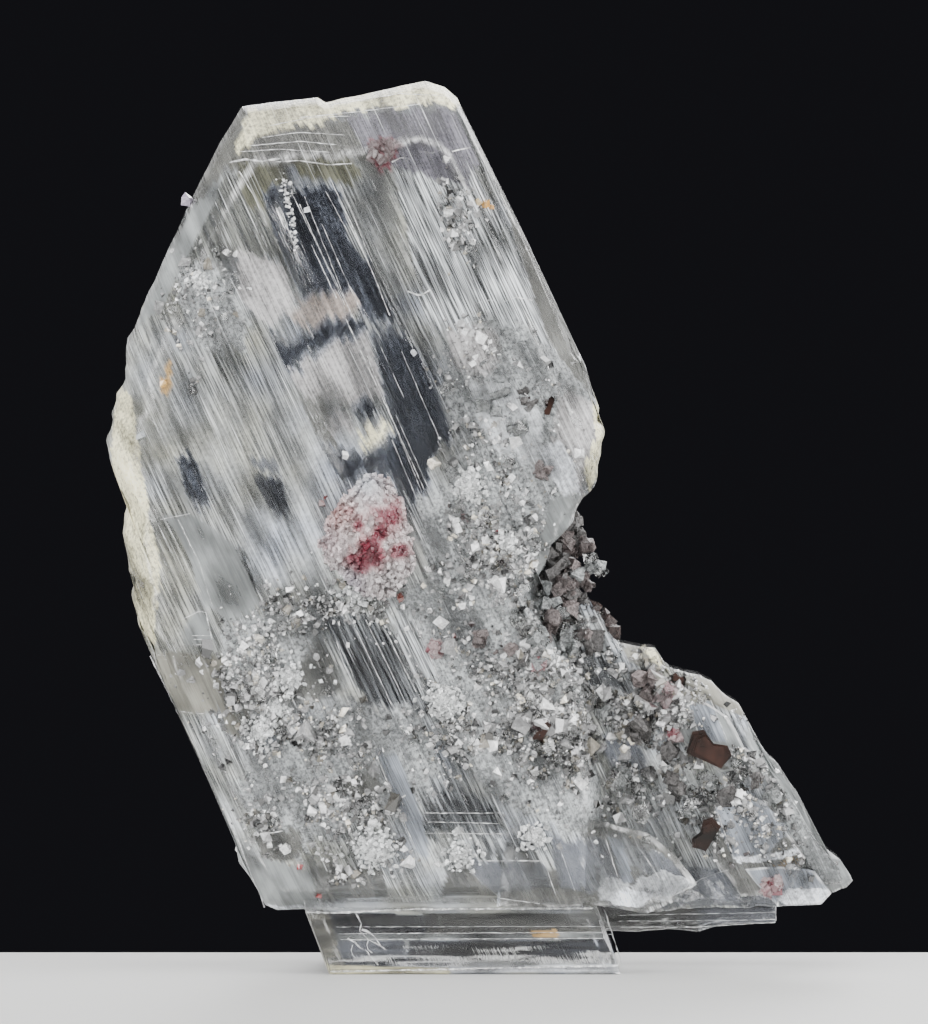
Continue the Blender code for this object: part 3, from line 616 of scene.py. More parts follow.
BIG_PATCHES += [
    ("olive", [(-32.5, 108.7), (-26.3, 108.3), (-25.6, 106.1), (-27.7, 105.1), (-28.8, 102.9),
        (-30.9, 102.4), (-32.3, 105.1)]),
    ("olive", [(-25.3, 109.3), (-18.3, 109.6), (-16.0, 107.5), (-17.3, 105.6), (-20.3, 106.4),
        (-24.3, 106.9)]),
    ("window", [(-29.1, 104.3), (-26.9, 105.6), (-24.5, 105.9), (-23.7, 98.9), (-24.8, 95.5),
        (-26.4, 96.0), (-27.5, 98.7)]),
    ("window", [(-26.1, 95.5), (-24.3, 96.0), (-22.1, 90.4), (-23.5, 89.6)]),
    ("peach", [(-24.3, 90.4), (-17.3, 92), (-16, 89.6), (-19.2, 88.3), (-22.8, 86.7), (-25.3, 87.5)]),
    ("milk", [(-25.5, 80.1), (-23.5, 82.5), (-21.2, 83.9), (-17.7, 85.5), (-15.5, 86.4), (-14.4, 82.9),
        (-13.1, 78.1), (-17.6, 76.5), (-18.9, 77.3), (-21.9, 76.8), (-24.5, 78.1)]),
    ("smoky", [(-24.3, 77.7), (-17.6, 76.5), (-17.3, 73.7), (-20.3, 70.4), (-22.1, 72.3)]),
    ("milk", [(-20.3, 75.7), (-17.9, 76), (-17.3, 73.1), (-20.3, 72.3)]),
    ("cream", [(-16.3, 72.3), (-13.2, 74.4), (-12.1, 73.5), (-12.8, 72), (-14.9, 70.7), (-16.5, 70.8)]),
]

# The same on the fan, and on the foot plate
FAN_PATCHES = [
    ("beige", [(18.1, 45.1), (22.7, 44.4), (25.9, 41.3), (23.7, 40.5), (19.5, 41.9)]),
    ("cream", [(22.4, 44.5), (24.6, 42.0), (23.9, 41.3), (21.5, 43.4)]),
    ("beige", [(26.4, 40), (32, 39.3), (35.1, 36.4), (36, 34.1), (31.2, 36), (27.7, 36.8)]),
    ("plate", [(36, 34.1), (42.4, 25.1), (50.4, 12), (46.4, 10.7), (44.4, 15.5), (41.1, 23.7),
        (35.1, 31.1)]),
    ("blue", [(27.7, 36.1), (30.7, 36.7), (32.8, 31.2), (29.3, 31.5)]),
    ("ribbed", [(12, 43.7), (14.7, 45.1), (18.9, 38.4), (17.1, 37.3), (13.6, 39.2)]),
    ("dusty", [(15.5, 31.5), (20.5, 32), (22.4, 27.7), (18.4, 25.7)]),
    ("orange", [(38.9, 14.1), (41.5, 16.3), (42.4, 17.1), (42.4, 15.2), (40.8, 13.6)]),
    ("dusty", [(17.7, 13.3), (29.1, 14.1), (39.7, 12.5), (39.7, 8.8), (16.4, 8.8)]),
]
SHELF_PATCHES = [
    ("dusty", [(14.4, 13.1), (40.4, 13.1), (40.4, 5.1), (14.4, 5.1)]),
    ("smoky", [(15.7, 8.8), (29.1, 8.8), (29.1, 5.1), (15.7, 5.1)]),
]
FOOT_PATCHES = [
    ("beige", [(-24.3, 8.5), (-20.3, 8.5), (-17.6, 1.1), (-20.3, 0)]),
    ("window", [(-20.3, 8.3), (-7.7, 8), (-7.7, 5.3), (-19.5, 5.3)]),
    ("smoky", [(-7.7, 8.3), (16.5, 8.3), (17.1, 5.6), (-7.7, 5.3)]),
    ("plate", [(-19.7, 5.5), (17.3, 5.6), (17.6, 4.8), (-19.5, 4.5)]),
    ("window", [(-9.6, 4.4), (17.6, 4.7), (18.1, 1.9), (-10.3, 1.6)]),
    ("dusty", [(-19.5, 4.5), (-10.3, 4.4), (-10.3, 1.3), (-18.4, 1.3)]),
    ("orange", [(6.4, 5.9), (10.1, 6.1), (10.4, 5.1), (6.7, 4.9)]),
    ("cream", [(-21.1, 1.3), (-4.3, 0.9), (-4.3, -0.1), (-21.1, -0.1)]),
    ("white", [(-4.3, 1.1), (18.7, 1.3), (19.2, 0.5), (-4.3, 0.3)]),
]


def paint(x, z, patches, rng, level=False):
    """Milkiness, smoothness, granularity and colour at each point: banded along the crystal or level, then
    patches. The ends of a patch are ragged, as each 0.6 mm strip of it is read a little further along.
    """
    q, p = (1.8 * z, x) if level else lean_coordinates(x, z)
    bend = q + 0.3 * value_noise(q / 8, p / 40, rng)
    milky = 0.60 + 0.16 * strips(bend, p, 2.6, 30.0, rng) + 0.12 * strips(bend, p, 0.8, 18.0, rng)
    milky += 0.16 * value_noise(q / 7 + 9, p / 18 + 9, rng) - np.interp(z, (70, 105), (0.0, 0.12))
    cloud = np.clip(0.5 + 0.7 * value_noise(x / 9 + 5, z / 9 + 5, rng), 0, 1)
    look = np.stack([np.clip(milky, 0.1, 0.95), 0.05 + 0.5 * cloud, 0.1 + 0.25 * cloud], axis=-1)
    colour = np.stack([0.37 + 0 * x, 0.385 + 0 * x, 0.385 + 0 * x], axis=-1)
    colour *= 0.8 + 0.45 * cloud[..., None]
    # Painted shade: the colour is darker towards the top, down to 0.44 of itself at 120 mm up
    colour *= np.interp(z, (0, 45, 80, 120), (1.12, 1.08, 0.83, 0.44))[..., None]
    warm = value_noise(x / 5 + 7, z / 5 + 7, rng) + 0.5 * np.clip((-36 - x) / 6, 0, 1)
    colour *= 1 + warm[..., None] * np.array((0.05, 0.02, -0.09))
    ragged = strips(q, p, 0.6, 60.0, rng)
    wavy = value_noise(x / 1.5, z / 1.5, rng)
    for kind, corners in patches:
        *values, run_out, shade = KINDS[kind]
        jag = 0.0 if level else run_out * (1.4 * ragged + 0.3 * wavy)
        here = in_polygon(x + ALONG[0] * jag, z + ALONG[1] * jag, corners)
        look[here] = values
        colour[here] = shade
    wisps = np.clip(1 + 0.5 * value_noise(q / 2.4 + 3, p / 5.5 + 3, rng, 4), 0.4, 1.7)
    look[..., 0] *= (1 + (0.6 if level else 0.12) * strips(bend, p, 0.7, 16.0, rng)) * (0.3 + 0.7 * wisps)
    colour *= (0.1 + 0.9 * wisps)[..., None]
    if level:
        look[..., 0] *= 0.55
        look[..., 1] = 0.95
    return look, colour


def add_values(mesh, name, values):
    """Stores one number a point on the mesh."""
    numbers = np.ascontiguousarray(values.ravel())
    mesh.attributes.new(name, "FLOAT", "POINT").data.foreach_set("value", numbers)


def add_colours(mesh, name, colours):
    """Stores one colour a point on the mesh, opaque."""
    rgba = np.column_stack((colours.reshape(-1, 3), np.ones(colours.size // 3)))
    mesh.attributes.new(name, "FLOAT_COLOR", "POINT").data.foreach_set("color", rgba.ravel())


def add_looks(mesh, look, colour):
    """The skin's four attributes: milky, smooth, granular and tint."""
    for number, name in enumerate(("milky", "smooth", "granular")):
        add_values(mesh, name, look[..., number])
    add_colours(mesh, "tint", colour)


frost, tree, shader = new_material("frosted_skin")
shader.inputs["Roughness"].default_value = 0.3
read = {name: add_node(tree, "Attribute", attribute_name=name).outputs["Fac"]
        for name in ("milky", "smooth", "granular")}
tint = add_node(tree, "Attribute", attribute_name="tint").outputs["Color"]
crystal = add_node(tree, "Group", node_tree=texture).outputs
pattern = add_node(tree, "Mix", [("Factor", read["granular"]), ("A", crystal["Lines"]),
                                 ("B", crystal["Grains"])]).outputs["Result"]
strength = fit_range(tree, pattern, 0.0, 1.0, 0.2, 1.7)
strength = add_node(tree, "Mix", [("Factor", read["smooth"]), ("A", strength), ("B", 1.0)]).outputs["Result"]
# Gleam: painted highlights, the sparse bright lines painted towards white on smooth faces that are not
# granular
gleam = arithmetic(tree, "MULTIPLY", crystal["Bright"], arithmetic(tree, "SUBTRACT", 1.0, read["granular"]))
gleam = arithmetic(tree, "MULTIPLY", gleam, fit_range(tree, read["smooth"], 0.45, 0.75, 1.0, 0.0))
gleam = arithmetic(tree, "MULTIPLY", gleam, fit_range(tree, read["milky"], 0.05, 0.5, 0.4, 0.9))
milky = arithmetic(tree, "MULTIPLY", read["milky"], strength)
alpha = add_node(tree, "Math", [(0, milky), (1, gleam)], operation="ADD", use_clamp=True).outputs["Value"]
deep = scaled(tree, tint, fit_range(tree, strength, 0.1, 2.0, 0.4, 1.75))
pairs = [("Factor", gleam), ("A", deep), ("B", (0.95, 0.97, 1.0, 1))]
final = add_node(tree, "Mix", pairs, data_type="RGBA").outputs["Result"]
tree.links.new(final, shader.inputs["Base Color"])
tree.links.new(alpha, shader.inputs["Alpha"])
add_bump(tree, shader, strength, 0.5, 0.15)


def skin_cells(haze):
    """The cells of a skin that have any haze to show, so that clear places hold no skin at all."""
    faces = grid_faces(np.arange(haze.size).reshape(haze.shape))
    return faces[haze.ravel()[faces].max(axis=1) > LEAST_HAZE]


def grown(piece, material):
    """Gives the piece its material and counts it in with the gypsum."""
    piece.data.materials.append(material)
    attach(piece, "root")


def add_skin(name, x, y, z, look, colour, flipped=False):
    """A sheet over the grid of points wherever it has any haze, facing forwards, or backwards if flipped."""
    faces = skin_cells(look[..., 0])
    faces = faces[:, ::-1] if flipped else faces
    skin = mesh_object(name, np.column_stack((x.ravel(), y.ravel(), z.ravel())), faces)
    add_looks(skin.data, look, colour)
    grown(skin, frost)
    return skin


def frost_and_edge_highlight(look, colour, edge, z, rng):
    """Brightens the crease round the flat face and the rim towards white, partly frost and partly a painted
    highlight where the edges catch the light, broken up by noise over the way along it.
    """
    broken = np.clip(0.5 + 1.1 * value_noise(edge * 9 + 3, z / 1.7, rng, 3), 0, 1)
    crease = band(edge, 0.893, 0.903, 0.006) * broken
    rim = np.clip((edge - 0.985) / 0.01, 0, 1)
    share = np.clip(0.8 * crease + 0.5 * rim, 0, 1)
    look[..., 0] = np.maximum(look[..., 0], 0.95 * share)
    look[..., 1] *= 1 - 0.7 * share
    return look, colour + (0.88 - colour) * 0.6 * share[..., None]


def band(values, low, high, soft):
    """1 between low and high, falling to 0 over soft on both sides."""
    return np.clip((values - low) / soft + 0.5, 0, 1) * np.clip((high - values) / soft + 0.5, 0, 1)


def blade_skin(name, outline, centre, front, back, relief, patches, steps, back_share=0.8, level=False):
    """Front and back skins of a blade on its own columns, steps = (column step, rows). The back one has the
    clear windows alone, made wider, and its milkiness is back_share of the front's, less near the top."""
    x, z, y_front, y_back, edge = blade_grid(outline, centre, front, back, relief, *steps)
    rng = np.random.default_rng(91)
    look, colour = frost_and_edge_highlight(*paint(x, z, patches, rng, level), edge, z, rng)
    add_skin(name + "_front", x, y_front - SKIN_LIFT, z, look, colour).data.shade_smooth()
    windows_only = [(kind, widened(corners)) for kind, corners in patches if kind in ("window", "ribbed")]
    rng = np.random.default_rng(92)
    look, colour = frost_and_edge_highlight(*paint(x, z, windows_only, rng, level), edge, z, rng)
    look[..., 0] *= back_share * np.interp(z, (80, 115), (1.0, 0.35))
    add_skin(name + "_back", x, y_back + SKIN_LIFT, z, look, colour, flipped=True).data.shade_smooth()


blade_skin("big_skin", big_outline, BIG_CENTRE, BIG_FRONT, BIG_BACK, big_relief, BIG_PATCHES, BIG_STEPS)
blade_skin("fan_skin", fan_outline, FAN_CENTRE, FAN_FRONT, FAN_BACK, fan_relief, FAN_PATCHES, FAN_STEPS)
blade_skin("foot_skin", foot_outline, foot_centre, FOOT_FRONT, FOOT_BACK, level_lines, FOOT_PATCHES,
           (0.3, 90), back_share=0.25, level=True)
blade_skin("shelf_skin", shelf_outline, shelf_centre, SHELF_FRONT, SHELF_BACK, level_lines, SHELF_PATCHES,
           (0.3, 50), back_share=0.25, level=True)

# The skins of the plates proud of the right-hand blade: mostly smooth, as they have cleaved, with white
# edges where curved flakes have come off
PLATE_PATCHES = {
    "cracked": [
        ("smoky", [(2.4, 23.7), (21.1, 23.7), (29.1, 13.1), (21.1, 8.4), (2.4, 8.8)]),
        ("dusty", [(10.4, 18.7), (16.5, 18.4), (18.1, 13.1), (15.7, 11.3), (10.7, 11.7)]),
        ("dusty", [(18.9, 18.1), (24.8, 16), (27.7, 12.5), (22.4, 14.1), (19.5, 14.7)]),
        ("snow", [(15.5, 11.3), (16.5, 13.1), (19.2, 13.3), (19.7, 12.3), (17.3, 10.4), (15.7, 9.7)]),
        ("snow", [(19.7, 12.3), (23.1, 14.1), (28, 13.3), (28.7, 12.3), (24.8, 10.1), (22.1, 10.7),
            (20.5, 9.3)]),
        ("white", [(16.8, 10.4), (19.1, 12.0), (21.1, 11.3), (23.1, 10.7), (21.1, 9.3), (17.7, 9.3)]),
        ("blue", [(16.8, 18.7), (18.7, 18.1), (20.3, 12.5), (18.7, 12.5)]),
    ],
    "window": [
        ("smoky", [(29.1, 25.1), (43.7, 25.1), (45.1, 10.4), (29.1, 10.4)]),
        ("blue", [(31.2, 22.4), (37.1, 23.7), (41.3, 19.5), (38.4, 16.3), (33.7, 15.7), (32, 18.9)]),
        ("white", [(33.7, 15.7), (38.7, 16.3), (42.4, 17.1), (42.7, 16.3), (38.4, 15.2), (34.1, 14.9)]),
    ],
    "corner": [
        ("blue", [(34.4, 17.1), (47.1, 17.1), (47.7, 9.1), (34.4, 9.1)]),
        ("white", [(39.5, 10.1), (41.1, 11.7), (45.9, 11.5), (47.5, 11.7), (46.4, 9.6), (41.1, 9.1)]),
    ],
    "upper": [
        ("plate", [(21.1, 42.4), (37.1, 42.4), (37.1, 25.1), (21.1, 25.1)]),
        ("blue", [(27.7, 36.1), (30.7, 36.7), (32.8, 31.2), (29.3, 31.5)]),
        ("beige", [(22.4, 41.7), (29.1, 39.1), (31.7, 35.5), (27.7, 36.8), (23.1, 39.7)]),
        ("smoky", [(25.3, 31.5), (29.1, 30.7), (33.1, 27.7), (29.1, 26.4), (25.9, 28.5)]),
    ],
    "tip": [
        ("crust", [(38.4, 26.4), (49.1, 26.4), (50.4, 10.4), (38.4, 10.4)]),
    ],
}
for plate_name, (_, plate_front) in FRONT_PLATES.items():
    x, z, y_front, _, edge = blade_grid(
        *plate_outlines[plate_name], plate_profile(plate_front), PLATE_BACK, still, 0.25, 80)
    rng = np.random.default_rng(95)
    look, colour = paint(x, z, PLATE_PATCHES[plate_name], rng)
    edge_white = band(edge, 0.9, 1.0, 0.05) * np.clip(0.5 + value_noise(x / 1.3, z / 1.3, rng), 0, 1)
    look[..., 0] = np.maximum(look[..., 0], 0.85 * edge_white)
    colour += (0.85 - colour) * 0.7 * edge_white[..., None]
    add_skin("plate_skin_" + plate_name, x, y_front - SKIN_LIFT, z, look, colour).data.shade_smooth()

# The veil: a thin cloud of tiny cavities deep in the big blade, in a sheet parallel to its broad faces.
# It is streaked as they are, and leaves the same windows clear.
x, z, _, _, edge = blade_grid(big_outline, BIG_CENTRE, BIG_FRONT, BIG_BACK, still, 0.5, 90)
rng = np.random.default_rng(61)
look, colour = paint(x, z, [("window", widened(corners)) for corners in WINDOWS], rng)
look[..., 0] *= 0.45 * np.clip((0.96 - edge) / 0.03, 0, 1) * np.interp(z, (80, 115), (1.0, 0.4))
depth = 1.0 + 0.6 * value_noise(x / 9, z / 9, rng)
add_skin("veil", x, depth, z, look, colour)

# Cracks, creases and edges that catch the light: thin bright lines on the front of the clear plates, painted
# highlights in near white. Each is a flat ribbon with the finish of the skin, just off the face: its width,
# and its corners in x and z.
LINES = [
    (0.5, [(-33.7, 108.7), (-31.5, 109.1), (-29.3, 108.8), (-26.9, 109.2)]),
    (0.3, [(-27.5, 108.7), (-24.3, 108.9), (-20.3, 108.3), (-17.3, 108.5)]),
    (0.35, [(-12.0, 108.7), (-10.7, 109.3), (-9.6, 109.1)]),
    (0.45, [(-8.5, 110.1), (-6.7, 109.9), (-4.8, 110.5)]), (0.25, [(-4.0, 110.1), (-1.6, 110.7)]),
    (0.4, [(-0.5, 90.0), (1.3, 90.4), (2.4, 89.9), (4.5, 90.7), (6.7, 90.3)]),
    (0.4, [(-9.9, 91.5), (-8.3, 90.9), (-6.9, 91.7)]),
    (0.25, [(-32.3, 107.5), (-30.4, 104.3), (-28.5, 100.0)]),
    (0.2, [(-20.3, 106.7), (-17.3, 100.3), (-14.4, 93.6), (-12.3, 88.3)]),
    (0.15, [(-19.2, 106.4), (-16.8, 100.8), (-14.7, 95.5)]),
    (0.22, [(-22.7, 97.7), (-19.9, 91.7), (-12.8, 76.3), (-7.7, 65.1)]),
    (0.2, [(-24.3, 103.1), (-21.3, 96.4), (-18.3, 89.7)]),
    (0.16, [(-21.3, 100.4), (-18.3, 93.6), (-15.5, 87.5)]),
    (0.14, [(-12, 71.7), (-9.3, 65.3), (-8.3, 62.9)]), (0.14, [(-14.9, 80.8), (-12.8, 76.3)]),
    (0.3, [(12.7, 62.9), (10.7, 57.6), (7.1, 51.5)]),
    (0.22, [(-40.1, 47.7), (-37.7, 48.9), (-36.8, 48.7), (-35.9, 44.4), (-40, 44.4), (-40.5, 46.4),
        (-40.1, 47.7)]),
    (0.12, [(-39.7, 45.6), (-36.1, 45.6)]), (0.12, [(-39.9, 45.1), (-36, 45.1)]),
    (0.18, [(-44.5, 42.8), (-39.5, 42.8)]), (0.12, [(-44.3, 42.3), (-39.7, 42.3)]),
    (0.25, [(-40.5, 35.2), (-36.9, 35.2), (-32.3, 35.6)]),
    (0.3, [(-44.7, 42.4), (-38.9, 30.4), (-32.3, 17.1)]),
    (0.18, [(-40.5, 61.1), (-37.6, 55.1), (-35.9, 49.3)]),
    (0.16, [(-43.5, 53.7), (-41.9, 50.4), (-40.8, 44.4)]), (0.2, [(-42.9, 61.1), (-38.9, 61.9)]),
    (0.3, [(-0.5, 15.5), (8.4, 15.5)]), (0.16, [(-0.5, 17.6), (-0.5, 15.5)]),
    (0.2, [(8.4, 15.5), (9.1, 13.1), (9.9, 10.8)]), (0.2, [(-7.7, 21.9), (2.9, 21.9)]),
    (0.16, [(-7.2, 20.7), (2.4, 20.5)]), (0.22, [(-7.7, 19.2), (3.5, 19.1)]),
    (0.5, [(-28.5, 8.5), (-20.3, 8.3), (-8.3, 8.8), (16.1, 8.9)]), (0.3, [(-32.3, 17.1), (-29.3, 8.4)]),
    (0.22, [(-13.1, 46.7), (-8.8, 38.1)]), (0.2, [(-9.3, 48), (-5.6, 39.7)]),
    (0.2, [(-14.1, 29.6), (-8.9, 17.1)]), (0.24, [(-2.4, 15.2), (-0.3, 12.8), (2.4, 10.4), (7.7, 9.7)]),
    (0.2, [(16.5, 18.4), (18.4, 12.5)]), (0.2, [(21.1, 17.1), (23.7, 13.1)]),
    (0.16, [(10.4, 17.3), (12.4, 11.5)]), (0.25, [(-30.5, 18.9), (-23.9, 19.9)]),
    (0.3, [(-16.9, 8.3), (-16.1, 6.8), (-16.5, 6.0), (-15.2, 4.7), (-13.6, 3.9), (-12.8, 3.3)]),
    (0.5, [(-16.1, 6.1), (-15.5, 5.9), (-14.5, 5.3), (-13.6, 3.9)]),
    (0.2, [(-15.2, 4.7), (-15.5, 3.7), (-14.7, 2.9)]),
    (0.35, [(-18.0, 4.9), (-16.9, 4.3), (-16.5, 3.7), (-15.5, 3.3), (-14.9, 2.4), (-13.9, 1.3)]),
    (0.2, [(-17.3, 4.0), (-17.6, 2.9), (-16.8, 2.1)]), (0.12, [(-19.5, 6.4), (17.1, 6.5)]),
    (0.14, [(-19.2, 5.5), (17.3, 5.7)]), (0.16, [(-18.9, 4.7), (17.6, 4.9)]),
    (0.3, [(16.5, 8.3), (18.9, 0.8)]), (0.4, [(-20.3, 0.4), (-1.6, 0.8), (18.7, 1.2)]),
    (0.14, [(18.4, 7.5), (39.5, 7.9)]), (0.16, [(18.4, 6.7), (39.5, 6.9)]),
    (0.3, [(39.6, 9.9), (39.6, 6.7)]), (0.25, [(18.7, 5.9), (29.1, 5.9), (39.5, 6.5)]),
    (0.22, [(27.5, 36.5), (29.3, 31.5)]), (0.2, [(30.7, 36.7), (32.8, 31.5)]),
    (0.16, [(-25.3, 104.5), (-16.7, 87.2)]), (0.13, [(-23.6, 104.1), (-17.3, 88.1)]),
    (0.12, [(-20.8, 104.8), (-17.9, 99.5)]), (0.12, [(-26.5, 101.9), (-24.3, 95.5)]),
    (0.13, [(-15.3, 82.9), (-8.0, 64.7)]), (0.12, [(-11.5, 75.1), (-6.9, 64.7)]),
    (0.1, [(-10.7, 83.5), (-5.6, 71.7)]), (0.1, [(-13.9, 85.1), (-10.4, 77.3)]),
    (0.12, [(-19.5, 45.1), (-17.3, 38.4)]), (0.14, [(-17.3, 47.5), (-12.0, 36.3)]),
    (0.14, [(-15.5, 47.7), (-10.4, 37.1)]), (0.12, [(-18.4, 43.1), (-16.0, 37.3)]),
    (0.2, [(-29.3, 112.0), (-24.3, 112.7), (-18.3, 112.3)]),
    (0.18, [(-30.9, 110.9), (-24.3, 111.5), (-17.3, 110.8)]),
    (0.25, [(-24.3, 114.7), (-16.3, 115.5), (-8.3, 116.5)]),
    (0.2, [(-20.3, 116.5), (-10.9, 117.9), (-4.3, 117.6)]),
    (0.16, [(-32.3, 110.1), (-26.9, 110.4), (-20.3, 110.0)]),
    (0.2, [(-28.3, 113.6), (-22.9, 114.7), (-17.6, 114.9)]), (0.22, [(31.2, 22.7), (33.7, 15.7)]),
    (0.2, [(24.8, 10.4), (29.1, 12.5), (33.1, 14.1)]),
]

# The front of each blade: outline, centre and depth profile. Then the depth given where there is no blade,
# the depth of what sits on an edge there, and how far the lines stand off the face
FRONTS = [
    (big_outline, BIG_CENTRE, BIG_FRONT), (fan_outline, FAN_CENTRE, FAN_FRONT),
    (foot_outline, foot_centre, FOOT_FRONT), (shelf_outline, shelf_centre, SHELF_FRONT),
]
NOWHERE = 99.0
EDGE_DEPTH = -4.0
LINE_LIFT = 0.16


def inside_outline(x, z, outline):
    """True where the point lies between the ends of its own column along the crystal."""
    q, p = lean_coordinates(x, z)
    low, high = span(outline, q.ravel())
    return (p > low.reshape(p.shape)) & (p < high.reshape(p.shape))


def front_depth(x, z):
    """The depth of the front surface at each point: the nearest of the blades there, or NOWHERE."""
    depth = np.full(x.shape, NOWHERE)
    for outline, centre, profile in FRONTS:
        here = np.interp(edge_share(x, z, outline, centre), *profile)
        depth = np.minimum(depth, np.where(inside_outline(x, z, outline), here, NOWHERE))
    for corners, plate_front in FRONT_PLATES.values():
        depth = np.minimum(depth, np.where(inside_outline(x, z, np.array(corners)), plate_front, NOWHERE))
    return depth


def line_strip(width, corners, rng):
    """A flat ribbon along the corners: a point each 0.5 mm, its place and the half width varied by noise."""
    corners = np.array(corners)
    lengths = np.hypot(*np.diff(corners, axis=0).T)
    stops = np.concatenate(([0], np.cumsum(lengths)))
    run = np.linspace(0, stops[-1], max(4, int(stops[-1] / 0.5)))
    at = np.column_stack([np.interp(run, stops, corners[:, i]) for i in (0, 1)])
    ahead = np.gradient(at, axis=0)
    side = np.column_stack((-ahead[:, 1], ahead[:, 0])) / np.hypot(*ahead.T)[:, None]
    at += side * rng.normal(0, 0.02, (len(at), 1))
    half = 0.35 * width * rng.uniform(0.3, 1.0, (len(at), 1))
    return np.stack((at - side * half, at + side * half), axis=1)


rng = np.random.default_rng(73)
points, faces, start = [], [], 0
for width, corners in LINES:
    ribbon = line_strip(width, corners, rng)
    x, z = ribbon[..., 0], ribbon[..., 1]
    depth = front_depth(x, z)
    depth = np.where(depth == NOWHERE, depth[depth < NOWHERE].max(initial=EDGE_DEPTH), depth) - LINE_LIFT
    points.append(np.stack((x, depth, z), axis=-1).reshape(-1, 3))
    faces.append(grid_faces(np.arange(start, start + x.size).reshape(x.shape)))
    start += x.size
glint_ribbons = mesh_object("bright_lines", np.concatenate(points), np.concatenate(faces))
look = np.tile((0.85, 0.6, 0.8), (start, 1))
look[:, 0] = np.repeat(rng.uniform(0.2, 0.95, start // 2), 2)
add_looks(glint_ribbons.data, look, np.full((start, 3), 0.93))
grown(glint_ribbons, frost)

# Sugary small crystals: slanted blocks under a millimetre, strewn thickly over the middle, the lower
# right and the whole fan. They are translucent, shown by opaque greys: the dark ones are painted shade for
# the dark seen through clear grains, the white ones partly white crystals and partly painted glints, and a
# few are clear.
BLOCK = np.array([
    (-0.5, -0.35, -0.4), (0.5, -0.5, -0.4), (0.35, 0.5, -0.5), (-0.5, 0.4, -0.35),
    (-0.4, -0.5, 0.4), (0.4, -0.35, 0.5), (0.5, 0.4, 0.4), (-0.35, 0.5, 0.35),
])
BLOCK_FACES = np.array([(0, 3, 2, 1), (4, 5, 6, 7), (0, 1, 5, 4), (1, 2, 6, 5), (2, 3, 7, 6), (3, 0, 4, 7)])

# Places thick with small crystals: middle x and z, half width, half height, how many
DRUSE = [
    (-30.9, 39.7, 5.7, 8.0, 700), (-19.9, 48.0, 8.3, 4.0, 600), (2.4, 57.0, 7.5, 12.0, 2500),
    (7.7, 39.1, 10.0, 9.3, 2500), (0.7, 33.7, 9.0, 6.0, 1100), (15.7, 30.1, 9.0, 7.0, 1900),
    (21.1, 36.4, 9.7, 6.7, 1300), (29.1, 29.1, 10.0, 9.0, 1500), (37.1, 22.1, 7.0, 7.0, 700),
    (-15.9, 22.4, 9.0, 4.3, 800), (-22.3, 30.7, 8.0, 5.7, 900), (-27.6, 21.1, 4.0, 4.0, 250),
    (-37.6, 90.4, 4.3, 5.7, 260), (-0.9, 83.1, 4.3, 4.3, 320), (-4.6, 104.7, 1.2, 3.0, 120),
    (-2.6, 99.7, 1.8, 3.5, 200), (5.7, 75.1, 7.0, 5.0, 420), (-11.0, 21.0, 3.0, 6.0, 250),
    (-20.5, 14.0, 5.0, 2.0, 120), (-38.5, 79.5, 1.0, 1.0, 12),
]


def crystal_cloud(name, centres, sizes, stretch, rng):
    """Many small crystals in one mesh: the slanted block, stretched by up to stretch along its own axes,
    turned by a random unit quaternion and set at its centre."""
    count = len(centres)
    turn = rng.normal(size=(count, 4))
    turn /= np.linalg.norm(turn, axis=1)[:, None]
    w, a, b, c = turn.T
    matrix = np.stack([
        1 - 2 * (b * b + c * c), 2 * (a * b - w * c), 2 * (a * c + w * b),
        2 * (a * b + w * c), 1 - 2 * (a * a + c * c), 2 * (b * c - w * a),
        2 * (a * c - w * b), 2 * (b * c + w * a), 1 - 2 * (a * a + b * b),
    ], axis=1).reshape(count, 3, 3)
    local = BLOCK[None] * rng.uniform(1 / stretch, stretch, (count, 1, 3)) * sizes[:, None, None]
    local += rng.normal(scale=0.11, size=local.shape) * sizes[:, None, None]
    points = np.einsum("nij,nkj->nki", matrix, local) + centres[:, None, :]
    faces = BLOCK_FACES[None] + 8 * np.arange(count)[:, None, None]
    return mesh_object(name, points.reshape(-1, 3), faces.reshape(-1, 4))


def druse_places(rng):
    """Centres and sizes: a bell-shaped spread over each place of DRUSE, clumped by noise, on a blade."""
    spots = []
    for at_x, at_z, half_x, half_z, count in DRUSE:
        spots.append(rng.normal((at_x, at_z), (0.6 * half_x, 0.6 * half_z), (int(1.5 * count), 2)))
    spots = np.concatenate(spots)
    depth = front_depth(spots[:, 0], spots[:, 1])
    clump = value_noise(spots[:, 0] / 3.2, spots[:, 1] / 3.2, rng, 4)
    keep = (depth < NOWHERE) & (clump > rng.uniform(-0.6, 0.3, len(clump)))
    # Low down the faces are clean
    keep &= (spots[:, 1] > 15) | (spots[:, 0] < 5) & (spots[:, 1] > 12) | (spots[:, 0] > 40)
    for kind, corners in BIG_PATCHES + FAN_PATCHES:
        if kind in ("window", "ribbed", "plate", "blue", "white"):
            keep &= ~in_polygon(spots[:, 0], spots[:, 1], corners) | (rng.uniform(size=len(keep)) < 0.12)
    spots, depth = spots[keep], depth[keep]
    sizes = np.clip(0.28 * np.exp(rng.normal(0, 0.6, len(spots))), 0.13, 2.0)
    centres = np.column_stack((spots[:, 0], depth - 0.1 * sizes, spots[:, 1]))
    return centres, sizes


def give_tints(obj, colours):
    """Stores each small crystal's colour on its eight corners."""
    add_colours(obj.data, "tint", np.repeat(colours, 8, axis=0))


def grain_greys(count, rng):
    """Colours of translucent grains: a quarter dark, as painted shade for the dark seen through clear
    grains, most mid grey, one in five white, partly as painted glints, a few warm.
    """
    pick = rng.uniform(size=count)
    level = np.where(pick < 0.26, 0.015 + 0.25 * pick, np.where(pick < 0.8, 0.06 + 0.45 * pick, 0.95))
    warm = np.where(rng.uniform(size=count) < 0.12, 0.85, 1.0)
    return np.stack((level, level * (0.5 + 0.5 * warm), level * warm ** 1.6), axis=-1)


